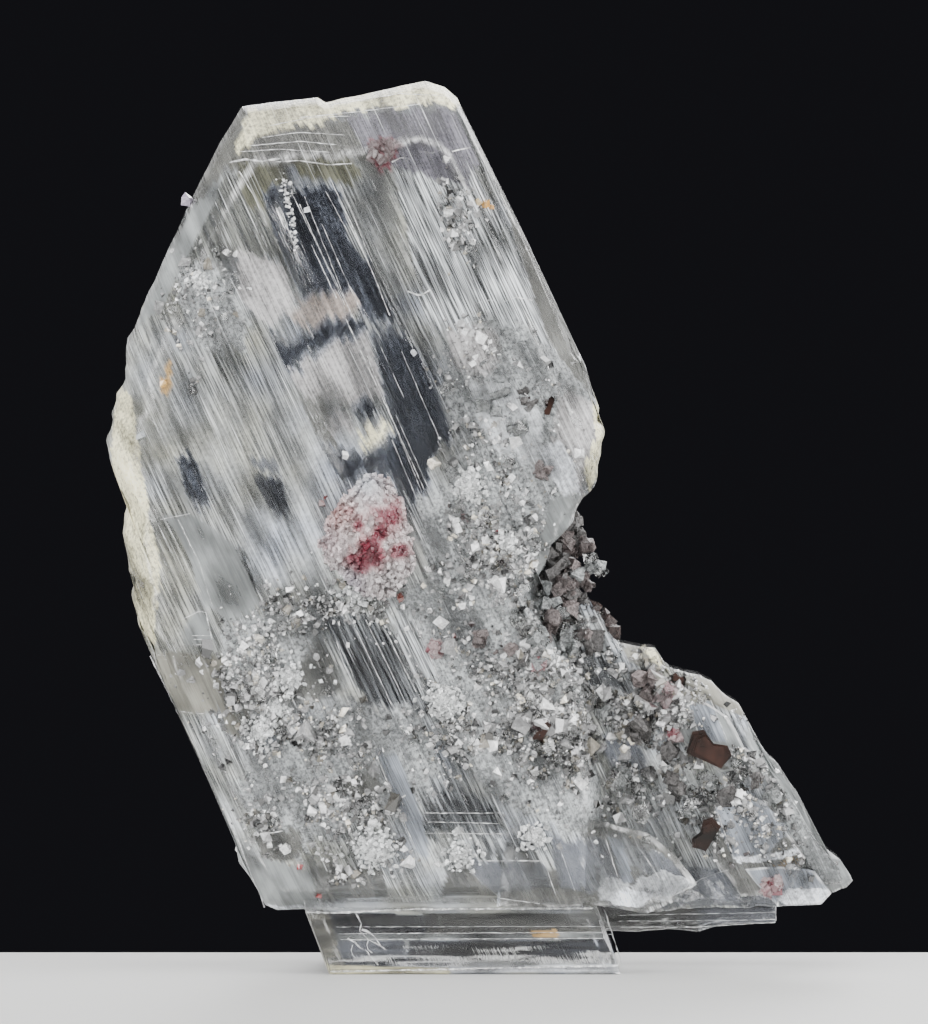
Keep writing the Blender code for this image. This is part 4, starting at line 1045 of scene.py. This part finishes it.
rng = np.random.default_rng(8)
centres, sizes = druse_places(rng)
is_clear = (sizes > 0.8) & (rng.uniform(size=len(sizes)) < 0.5)
grains = crystal_cloud("sugar_grains", centres[~is_clear], sizes[~is_clear], 1.5, rng)
clear_grains = crystal_cloud("clear_grains", centres[is_clear], sizes[is_clear] * 1.1, 1.5, rng)
in_snow = np.any([in_polygon(centres[:, 0], centres[:, 2], corners)
                  for kind, corners in BIG_PATCHES if kind in ("snow", "milk")], axis=0)[~is_clear, None]
greys = grain_greys(np.count_nonzero(~is_clear), rng)
give_tints(grains, np.where(in_snow, np.clip(0.15 + 1.4 * greys, 0, 0.92), greys))


def grainy_material(name, tint_range, rough_range):
    """A material with the mesh's own tint, its lightness and its roughness uneven with the grains."""
    made, tree, shader = new_material(name)
    tint = add_node(tree, "Attribute", attribute_name="tint").outputs["Color"]
    speck = add_node(tree, "Group", node_tree=texture).outputs["Grains"]
    lightness = fit_range(tree, speck, 0, 1, *tint_range)
    tree.links.new(scaled(tree, tint, lightness), shader.inputs["Base Color"])
    tree.links.new(fit_range(tree, speck, 0, 1, *rough_range), shader.inputs["Roughness"])
    return made, tree, shader, speck


sugar, _, shader, _ = grainy_material("sugar_crystals", (0.7, 1.15), (0.08, 0.3))
shader.inputs["IOR"].default_value = 1.6
shader.inputs["Coat Weight"].default_value = 1.0
shader.inputs["Coat Roughness"].default_value = 0.03
shader.inputs["Coat IOR"].default_value = 1.9
grown(grains, sugar)
grown(clear_grains, clear)

# Sugar heaps: low mounds of fine white crystals that grew on the front of the blades, each with its middle
# x and z, its radius and how many crystals it has
HEAPS = [
    (-1.6, 65.6, 3.0, 620), (-4.8, 36.9, 3.4, 620), (-14.4, 17.1, 3.9, 760), (-29.3, 33.0, 3.0, 300),
    (-37.6, 92.9, 1.8, 160), (3.6, 58.2, 2.4, 220), (6.9, 18.9, 2.6, 200), (-25.6, 40.0, 3.2, 260),
    (26.2, 24.6, 2.6, 130), (-16.5, 51.2, 3.6, 160), (-27.3, 36.0, 2.0, 200), (-3.0, 16.5, 3.6, 220),
]
rng = np.random.default_rng(12)
mounds = []
for at_x, at_z, radius, count in HEAPS:
    reach = np.abs(rng.normal(0, 0.45, count)) * radius * rng.uniform(0.6, 1.1, count)
    angle = rng.uniform(0, math.tau, count)
    spot_x, spot_z = at_x + reach * np.cos(angle), at_z + reach * np.sin(angle)
    rise = 0.35 * radius * np.clip(1 - (reach / radius) ** 2, 0, 1) * rng.uniform(0.3, 1, count)
    base = front_depth(np.array([at_x]), np.array([at_z]))[0]
    mounds.append(np.column_stack((spot_x, base - rise, spot_z)))
mounds = np.concatenate(mounds)
heaps = crystal_cloud("sugar_heaps", mounds, rng.uniform(0.15, 0.6, len(mounds)), 1.4, rng)
give_tints(heaps, rng.uniform(0.35, 0.95, (len(mounds), 1)) * (0.98, 1.0, 1.0))
grown(heaps, sugar)

# Stray crystals: a string of tiny white ones down the upper window, dark red and black specks and orange
# stained grains, each at x, z with its size and colour
STRAY = [
    ((-18.3, 69.7), 0.8, (0.9, 0.9, 0.9)), ((-21.3, 63.3), 0.9, (0.1, 0.01, 0.01)),
    ((-20.8, 64.1), 0.5, (0.16, 0.02, 0.02)), ((-10.9, 50.7), 0.8, (0.14, 0.03, 0.02)),
    ((-24.3, 14.7), 0.6, (0.35, 0.05, 0.06)), ((-21.9, 10.7), 0.6, (0.3, 0.04, 0.04)),
    ((-39.5, 103.7), 1.3, (0.46, 0.4, 0.52)), ((-45.5, 72.3), 0.9, (0.45, 0.48, 0.5)),
    ((-9.1, 83.3), 0.7, (0.6, 0.62, 0.64)), ((-23.3, 102.4), 0.6, (0.7, 0.72, 0.74)),
    ((42.4, 17.7), 0.5, (0.02, 0.02, 0.02)), ((43.6, 17.1), 0.4, (0.02, 0.02, 0.02)),
    ((44, 13.1), 0.8, (0.03, 0.03, 0.03)), ((41.9, 18.7), 0.4, (0.03, 0.03, 0.03)),
    ((47.7, 14.7), 0.4, (0.03, 0.02, 0.02)), ((0.4, 103.1), 1.0, (0.72, 0.4, 0.12)),
    ((1.2, 102.7), 0.8, (0.72, 0.42, 0.16)), ((-0.5, 103.3), 0.8, (0.8, 0.62, 0.36)),
    ((-42.5, 79.2), 1.1, (0.8, 0.48, 0.14)), ((29.9, 18.1), 0.9, (0.03, 0.03, 0.03)),
    ((33.5, 14.7), 0.8, (0.04, 0.03, 0.03)), ((35.5, 16.1), 0.7, (0.03, 0.02, 0.02)),
    ((-2.5, 61.6), 0.6, (0.12, 0.02, 0.025)), ((0.4, 60.9), 0.5, (0.02, 0.02, 0.02)),
    ((2.0, 59.6), 0.6, (0.2, 0.03, 0.04)), ((1.6, 57.6), 0.5, (0.05, 0.02, 0.02)),
    ((2.7, 55.5), 0.8, (0.05, 0.03, 0.03)), ((-1.3, 47.2), 0.6, (0.03, 0.02, 0.02)),
    ((2.1, 46.0), 0.7, (0.02, 0.02, 0.02)), ((-3.6, 45.5), 0.6, (0.1, 0.03, 0.03)),
    ((7.2, 41.6), 0.9, (0.25, 0.03, 0.045)), ((-6.1, 44.0), 0.8, (0.3, 0.08, 0.1)),
    ((8.7, 76.5), 1.0, (0.03, 0.02, 0.02)), ((6.4, 77.3), 0.6, (0.04, 0.03, 0.03)),
    ((7.2, 33.3), 1.3, (0.03, 0.02, 0.02)), ((7.9, 32.4), 1.2, (0.03, 0.02, 0.02)),
]

# The string's top, middle and foot in x and in z, and how many crystals it has
STRING_ENDS = ((-26.6, -25.6, -24.8), (106.8, 102.4, 97.4))
STRING = 70
rng = np.random.default_rng(14)
down = np.linspace(0, 1, STRING)
string = np.column_stack([
    np.interp(down, (0, 0.5, 1), ends) + rng.normal(0, 0.3, STRING) for ends in STRING_ENDS])
stray_place = np.concatenate([[spot for spot, _, _ in STRAY], string])
stray_size = np.concatenate([[size for _, size, _ in STRAY], rng.uniform(0.12, 0.42, STRING)])
string_tint = rng.uniform(0.4, 0.95, (STRING, 1)) * (1, 1, 1)
stray_tint = np.concatenate([[colour for _, _, colour in STRAY], string_tint])
stray_depth = front_depth(stray_place[:, 0], stray_place[:, 1])
stray_depth = np.where(stray_depth == NOWHERE, EDGE_DEPTH, stray_depth) - 0.2 * stray_size
stray = crystal_cloud("stray_crystals", np.column_stack((stray_place[:, 0], stray_depth, stray_place[:, 1])),
                      stray_size, 1.3, rng)
give_tints(stray, stray_tint)
grown(stray, sugar)

# Notch blocks: larger smoky, rosy and brown crystals that stand up in the notch beside the big blade, and
# bigger translucent ones strewn over the fan: x, z, depth, size and colour of each cluster
SMOKE, ROSE = (0.09, 0.085, 0.083), (0.13, 0.108, 0.105)
PALE, BROWN = (0.22, 0.23, 0.23), (0.04, 0.025, 0.022)
CLUSTERS = [
    ((12, 60.8), -3.0, 1.3, SMOKE), ((12.5, 58.7), -3.0, 1.6, SMOKE), ((13.3, 56.8), -3.5, 1.8, ROSE),
    ((14.4, 55.2), -4.0, 1.7, PALE), ((15.3, 54.1), -3.0, 1.4, PALE), ((13.6, 52.5), -4.0, 2.2, ROSE),
    ((12, 53.6), -5.0, 2.0, PALE), ((11.2, 50.9), -6.0, 2.2, ROSE), ((12.8, 49.9), -5.0, 2.3, SMOKE),
    ((10.4, 48.3), -7.5, 2.4, PALE), ((14.1, 48), -5.0, 2.4, BROWN), ((15.7, 46.9), -4.5, 2.3, ROSE),
    ((16.8, 45.9), -4.0, 2.4, BROWN), ((15.7, 44.5), -5.5, 2.6, SMOKE), ((13.6, 45.1), -6.5, 2.4, ROSE),
    ((11.2, 45.1), -8.0, 2.6, PALE), ((9.3, 46.7), -9.5, 2.2, ROSE), ((17.9, 43.1), -5.0, 2.2, PALE),
    ((6.9, 45.1), -11.5, 2.2, PALE), ((3.1, 44), -12.0, 1.8, ROSE), ((5.1, 47.7), -12.0, 2.4, PALE),
    ((-0.3, 45.1), -12.0, 1.6, ROSE), ((7.7, 42.4), -11.0, 2.0, PALE), ((22.4, 38.7), -8.0, 2.4, ROSE),
    ((24.8, 37.1), -8.0, 1.9, PALE), ((21.1, 32.4), -8.0, 2.0, SMOKE), ((19.1, 25.7), -8.0, 2.2, PALE),
    ((24.8, 29.7), -8.3, 1.8, SMOKE), ((16.4, 35.1), -8.0, 1.8, PALE), ((25.9, 25.1), -8.5, 2.0, SMOKE),
    ((30.7, 25.1), -9.0, 1.8, PALE), ((33.1, 23.7), -9.0, 1.9, SMOKE), ((21.1, 21.3), -10.0, 1.6, PALE),
    ((27.7, 22.1), -9.5, 2.0, PALE), ((37.1, 26.4), -8.5, 1.6, SMOKE), ((39.1, 23.7), -8.5, 1.5, PALE),
    ((12.3, 59.7), -3.0, 1.5, SMOKE), ((11.2, 57.7), -4.0, 1.8, ROSE), ((10.1, 55.7), -5.0, 2.0, SMOKE),
    ((11.2, 54.4), -4.5, 2.0, ROSE), ((9.3, 53.1), -6.0, 2.2, SMOKE), ((10.7, 51.7), -5.0, 2.2, SMOKE),
    ((8.8, 50.4), -7.5, 2.2, PALE), ((10.4, 48.8), -6.5, 2.4, ROSE), ((12.0, 50.4), -4.5, 2.2, SMOKE),
    ((15.7, 46.1), -4.0, 2.2, BROWN), ((14.4, 45.1), -4.5, 2.4, BROWN), ((12.4, 45.1), -6.0, 2.4, SMOKE),
    ((14.4, 42.4), -6.0, 2.2, SMOKE), ((17.1, 43.1), -5.0, 2.2, SMOKE), ((3.1, 79.1), -12.0, 2.0, PALE),
    ((0.8, 76.8), -12.0, 2.3, PALE), ((5.7, 77.1), -12.0, 1.8, SMOKE), ((-0.3, 82.4), -12.0, 1.8, PALE),
    ((5.1, 73.1), -12.0, 2.0, PALE), ((7.7, 67.7), -12.0, 1.9, ROSE),
]
CLUSTER_SIZE = 7
rng = np.random.default_rng(15)
middle = np.repeat([(spot[0], depth, spot[1]) for spot, depth, _, _ in CLUSTERS], CLUSTER_SIZE, axis=0)
wide = np.repeat([size for _, _, size, _ in CLUSTERS], CLUSTER_SIZE)
middle = middle + rng.normal(0, 0.32, (len(wide), 3)) * wide[:, None]
hue = np.repeat([colour for _, _, _, colour in CLUSTERS], CLUSTER_SIZE, axis=0)
hue = hue * rng.uniform(0.5, 1.3, (len(wide), 1))
wide = wide * rng.uniform(0.35, 0.95, len(wide))
is_pale = np.repeat([colour == PALE for _, _, _, colour in CLUSTERS], CLUSTER_SIZE)
is_clear = is_pale & (rng.uniform(size=len(wide)) < 0.6)
blocks = crystal_cloud("notch_blocks", middle[~is_clear], wide[~is_clear], 1.45, rng)
give_tints(blocks, hue[~is_clear])
smoky, tree, shader, speck = grainy_material("smoky_crystals", (0.5, 1.6), (0.12, 0.4))
add_bump(tree, shader, speck, 0.6, 0.2)
grown(blocks, smoky)
clear_blocks = crystal_cloud("clear_blocks", middle[is_clear], wide[is_clear], 1.6, rng)
grown(clear_blocks, clear)

# The red and white lump of another mineral in the middle of the front: a knobbly mass of translucent
# whitish pink grains with deep red ones showing between them
LUMP_MIDDLE = np.array([-15.3, -13.0, 58.6])
LUMP_HALF = np.array([6.3, 3.9, 8.4])

# Its edge seen from the front, as shares of LUMP_HALF at even turns anticlockwise from the right
LUMP_EDGE = (0.94, 0.86, 0.98, 1.03, 1.0, 0.84, 0.76, 0.86, 1.0, 0.93, 0.76, 0.8, 0.93, 1.03, 1.05, 1.06)

# Where the deep red shows: middle x and z, reach
RED_PLACES = [
    (-12.5, 61.6, 1.9), (-16.4, 60.5, 0.8), (-14.9, 57.9, 1.2), (-16.0, 55.7, 1.7), (-13.8, 56.3, 1.4),
    (-10.9, 56.8, 1.1), (-13.4, 59.3, 1.0),
]

# Paler zones: a bluish white cap, a peach left side, a lilac foot and a greyish white lower right
PALE_ZONES = [
    (-15.4, 66.0, 2.2, (0.52, 0.55, 0.6)), (-19.2, 61.5, 2.4, (0.5, 0.32, 0.3)),
    (-20.5, 58.5, 2.0, (0.52, 0.42, 0.44)), (-17.5, 52.6, 2.2, (0.4, 0.37, 0.43)),
    (-12.3, 53.0, 2.6, (0.52, 0.49, 0.49)),
]


def redness(points, rng):
    """How red each point is: bells round the red places, broken up by noise, and none at the foot."""
    x, z = points[..., 0], points[..., 2]
    total = -0.03 + 0.3 * value_noise(x / 1.6, z / 1.6, rng, 3)
    for at_x, at_z, reach in RED_PLACES:
        total += 1.0 * np.exp(-((x - at_x) / reach) ** 2 - ((z - at_z) / reach) ** 2)
    return np.clip(total, 0, 1) * np.clip((z - 51.5) / 2, 0, 1)


def stone_colours(points, rng):
    """Whitish pink, to rose, to deep red by redness, tinted by the bell-shaped zones of PALE_ZONES."""
    red = redness(points, rng)
    bands = np.array([(0.56, 0.50, 0.50), (0.44, 0.28, 0.285), (0.22, 0.045, 0.065), (0.12, 0.010, 0.022)])
    colour = np.stack([np.interp(red, (0, 0.3, 0.65, 1.0), bands[:, i]) for i in range(3)], axis=-1)
    for at_x, at_z, reach, zone in PALE_ZONES:
        away = (points[..., 0] - at_x) ** 2 + (points[..., 2] - at_z) ** 2
        share = np.exp(-away / reach ** 2) * (1 - red)
        colour += (np.array(zone) - colour) * 0.8 * share[..., None]
    return colour


def lump_edge(turn):
    """LUMP_EDGE read at this turn, with a straight blend between its values."""
    return np.interp(turn, np.linspace(0, math.tau, len(LUMP_EDGE) + 1), LUMP_EDGE + LUMP_EDGE[:1])


def lump_surface(rows, turns, rng):
    """A sphere over polar angle and turn, its radius following LUMP_EDGE round the view and pushed out and
    in by coarse and fine noise. The poles face front and back, and each is one point."""
    turn = np.linspace(0, math.tau, turns + 1)[:-1]
    polar, turn = np.meshgrid(np.linspace(0, math.pi, rows), turn, indexing="ij")
    out = np.stack((np.sin(polar) * np.cos(turn), -np.cos(polar), np.sin(polar) * np.sin(turn)), axis=-1)
    knobs = value_noise(out[..., 0] * 2.0 + 8, out[..., 2] * 2.0 + 8 + out[..., 1], rng, 3)
    facets = value_noise(out[..., 0] * 9 + 8, out[..., 2] * 9 + 8 + 4 * out[..., 1], rng, 3)
    size = lump_edge(turn) ** np.sin(polar) * (0.95 + 0.12 * knobs + 0.035 * facets)
    return LUMP_MIDDLE + LUMP_HALF * out * size[..., None]


rng = np.random.default_rng(17)
rows, turns = 100, 180
points = lump_surface(rows, turns, rng)
ring = points[1:-1].reshape(-1, 3)
ends = np.stack((points[0, 0], points[-1, 0]))
index = np.arange(len(ring)).reshape(rows - 2, turns)
index = np.column_stack((index, index[:, :1]))
faces = grid_faces(index).tolist()
front_pole, back_pole = len(ring), len(ring) + 1
faces += [(front_pole, near, far) for near, far in zip(index[0, 1:].tolist(), index[0, :-1].tolist())]
faces += [(back_pole, near, far) for near, far in zip(index[-1, :-1].tolist(), index[-1, 1:].tolist())]
points = np.concatenate((ring, ends))
lump = mesh_object("lump", points, faces)
add_colours(lump.data, "tint", stone_colours(points, np.random.default_rng(19)))

stone, tree, shader, speck = grainy_material("red_white_stone", (0.75, 1.2), (0.12, 0.4))
add_bump(tree, shader, speck, 0.5, 0.2)
shader.inputs["Coat Weight"].default_value = 0.5
lump.data.materials.append(stone)
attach(lump, "root")
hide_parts("red_white_lump")

# Granules on the lump: small translucent white and pink grains of the same stone, grown over its front and
# sides and half sunk in it
GRANULES = 1500
rng = np.random.default_rng(18)
pick = rng.normal(size=(GRANULES, 3))
pick /= np.linalg.norm(pick, axis=1)[:, None]
pick = pick[pick[:, 1] < 0.35]
turn = np.arctan2(pick[:, 2], pick[:, 0]) % math.tau
edge = lump_edge(turn) ** np.hypot(pick[:, 0], pick[:, 2])
granule_place = LUMP_MIDDLE + LUMP_HALF * pick * (edge * rng.uniform(0.88, 1.02, len(pick)))[:, None]
granules = crystal_cloud("lump_granules", granule_place, rng.uniform(0.2, 0.62, len(pick)), 1.6, rng)
hues = stone_colours(granule_place, np.random.default_rng(19)) * rng.uniform(0.6, 1.35, (len(pick), 1))
give_tints(granules, np.clip(hues, 0, 1))
granules.data.materials.append(stone)
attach(granules, "root")

# Rosy crystals: small translucent clusters of faceted grains, pale pink outside and red within, each grown
# in its own seat: middle x, y and z, and radius
ROSY = [
    (38.8, -9.6, 12.0, 2.1), (-6.2, -12.2, 43.8, 1.5), (7.6, -12.2, 41.6, 1.4), (24.6, -8.2, 37.2, 2.2),
    (25.8, -8.6, 32.2, 1.4), (-13.6, -11.9, 110.0, 2.0),
]
ROSY_GRAINS = 44
rose = stone.copy()
rose.name = "rosy_stone"
for number, (at_x, at_y, at_z, radius) in enumerate(ROSY, 1):
    rng = np.random.default_rng(200 + number)
    pick = rng.normal(size=(ROSY_GRAINS, 3))
    pick /= np.linalg.norm(pick, axis=1)[:, None]
    reach = rng.uniform(0.1, 0.66, ROSY_GRAINS)
    spots = np.array((at_x, at_y, at_z)) + pick * radius * reach[:, None] * (1.0, 0.8, 1.1)
    sizes = rng.uniform(0.35, 0.8, ROSY_GRAINS) * radius
    cluster = crystal_cloud(f"rosy_{number}", spots, sizes, 1.3, rng)
    pale = np.clip(reach * 1.7 - 0.2 + rng.normal(0, 0.2, ROSY_GRAINS), 0, 1)[:, None]
    tints = np.array((0.18, 0.04, 0.055)) * (1 - pale) + np.array((0.34, 0.28, 0.28)) * pale
    give_tints(cluster, tints * (0.45 if at_z > 100 else 1.0))
    cluster.data.materials.append(rose)
    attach(cluster, "root")
    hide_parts(f"rosy_crystal_{number}")

# Brown tablets: dark thin plates with straight edges, each a stack of a few sheets lying in its seat:
# middle x, y and z, width, thickness, height, and turn in degrees
TABLETS = [
    (30.4, -9.6, 30.0, 6.0, 1.0, 4.2, 28.0), (30.0, -9.8, 18.6, 4.6, 0.9, 3.0, -58.0),
    (8.2, -12.3, 32.9, 3.4, 0.9, 1.9, -55.0), (9.0, -12.2, 76.2, 3.2, 0.9, 1.2, -70.0),
    (26.3, -8.2, 39.6, 2.0, 0.9, 1.4, 20.0),
]
brown, tree, shader = new_material("brown_stone")
place = add_node(tree, "TexCoord").outputs["Object"]
patches = add_node(tree, "TexNoise", [("Vector", place), ("Scale", 300.0), ("Detail", 5.0)]).outputs["Fac"]
ramp = add_node(tree, "ValToRGB", [("Fac", patches)])
ramp.color_ramp.elements[0].position = 0.38
ramp.color_ramp.elements[0].color = (0.006, 0.004, 0.003, 1)
ramp.color_ramp.elements[1].position = 0.68
ramp.color_ramp.elements[1].color = (0.05, 0.018, 0.011, 1)
tree.links.new(ramp.outputs["Color"], shader.inputs["Base Color"])
tree.links.new(fit_range(tree, patches, 0.3, 0.7, 0.18, 0.42), shader.inputs["Roughness"])


def tablet_stack(name, at, wide, thick, high, roll, rng):
    """Four thin sheets with seven straight sides each, the corners at uneven turns and one of them broken
    out, each sheet a little smaller than the last, lying one on another through the tablet's thickness."""
    sides, sheets = 7, 4
    points, faces = [], []
    turn = math.radians(roll)
    angle = np.array((0.06, 0.15, 0.24, 0.34, 0.42, 0.62, 0.90)) * math.tau
    for sheet in range(sheets):
        reach = rng.uniform(0.5, 0.62, sides) * (1 - 0.09 * sheet)
        reach[2] *= 0.5
        across, up = wide * reach * np.cos(angle), high * reach * np.sin(angle)
        flat_x = across * math.cos(turn) + up * math.sin(turn)
        flat_z = up * math.cos(turn) - across * math.sin(turn)
        front = thick * (0.3 - 0.35 * sheet)
        start = len(points) * 2 * sides
        ring = [np.column_stack((at[0] + flat_x, np.full(sides, at[1] + depth), at[2] + flat_z))
                for depth in (front, front + thick * 0.45)]
        points.append(np.concatenate(ring))
        corner = np.arange(sides)
        following = (corner + 1) % sides
        faces.append((start + corner).tolist())
        faces.append((start + sides + corner[::-1]).tolist())
        faces += (start + np.column_stack((following, corner, corner + sides, following + sides))).tolist()
    return mesh_object(name, np.concatenate(points), faces)


for number, (at_x, at_y, at_z, wide, thick, high, roll) in enumerate(TABLETS, 1):
    rng = np.random.default_rng(300 + number)
    tablet = tablet_stack(f"tablet_{number}", (at_x, at_y, at_z), wide, thick, high, roll, rng)
    tablet.data.materials.append(brown)
    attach(tablet, "root")
    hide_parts(f"brown_tablet_{number}")
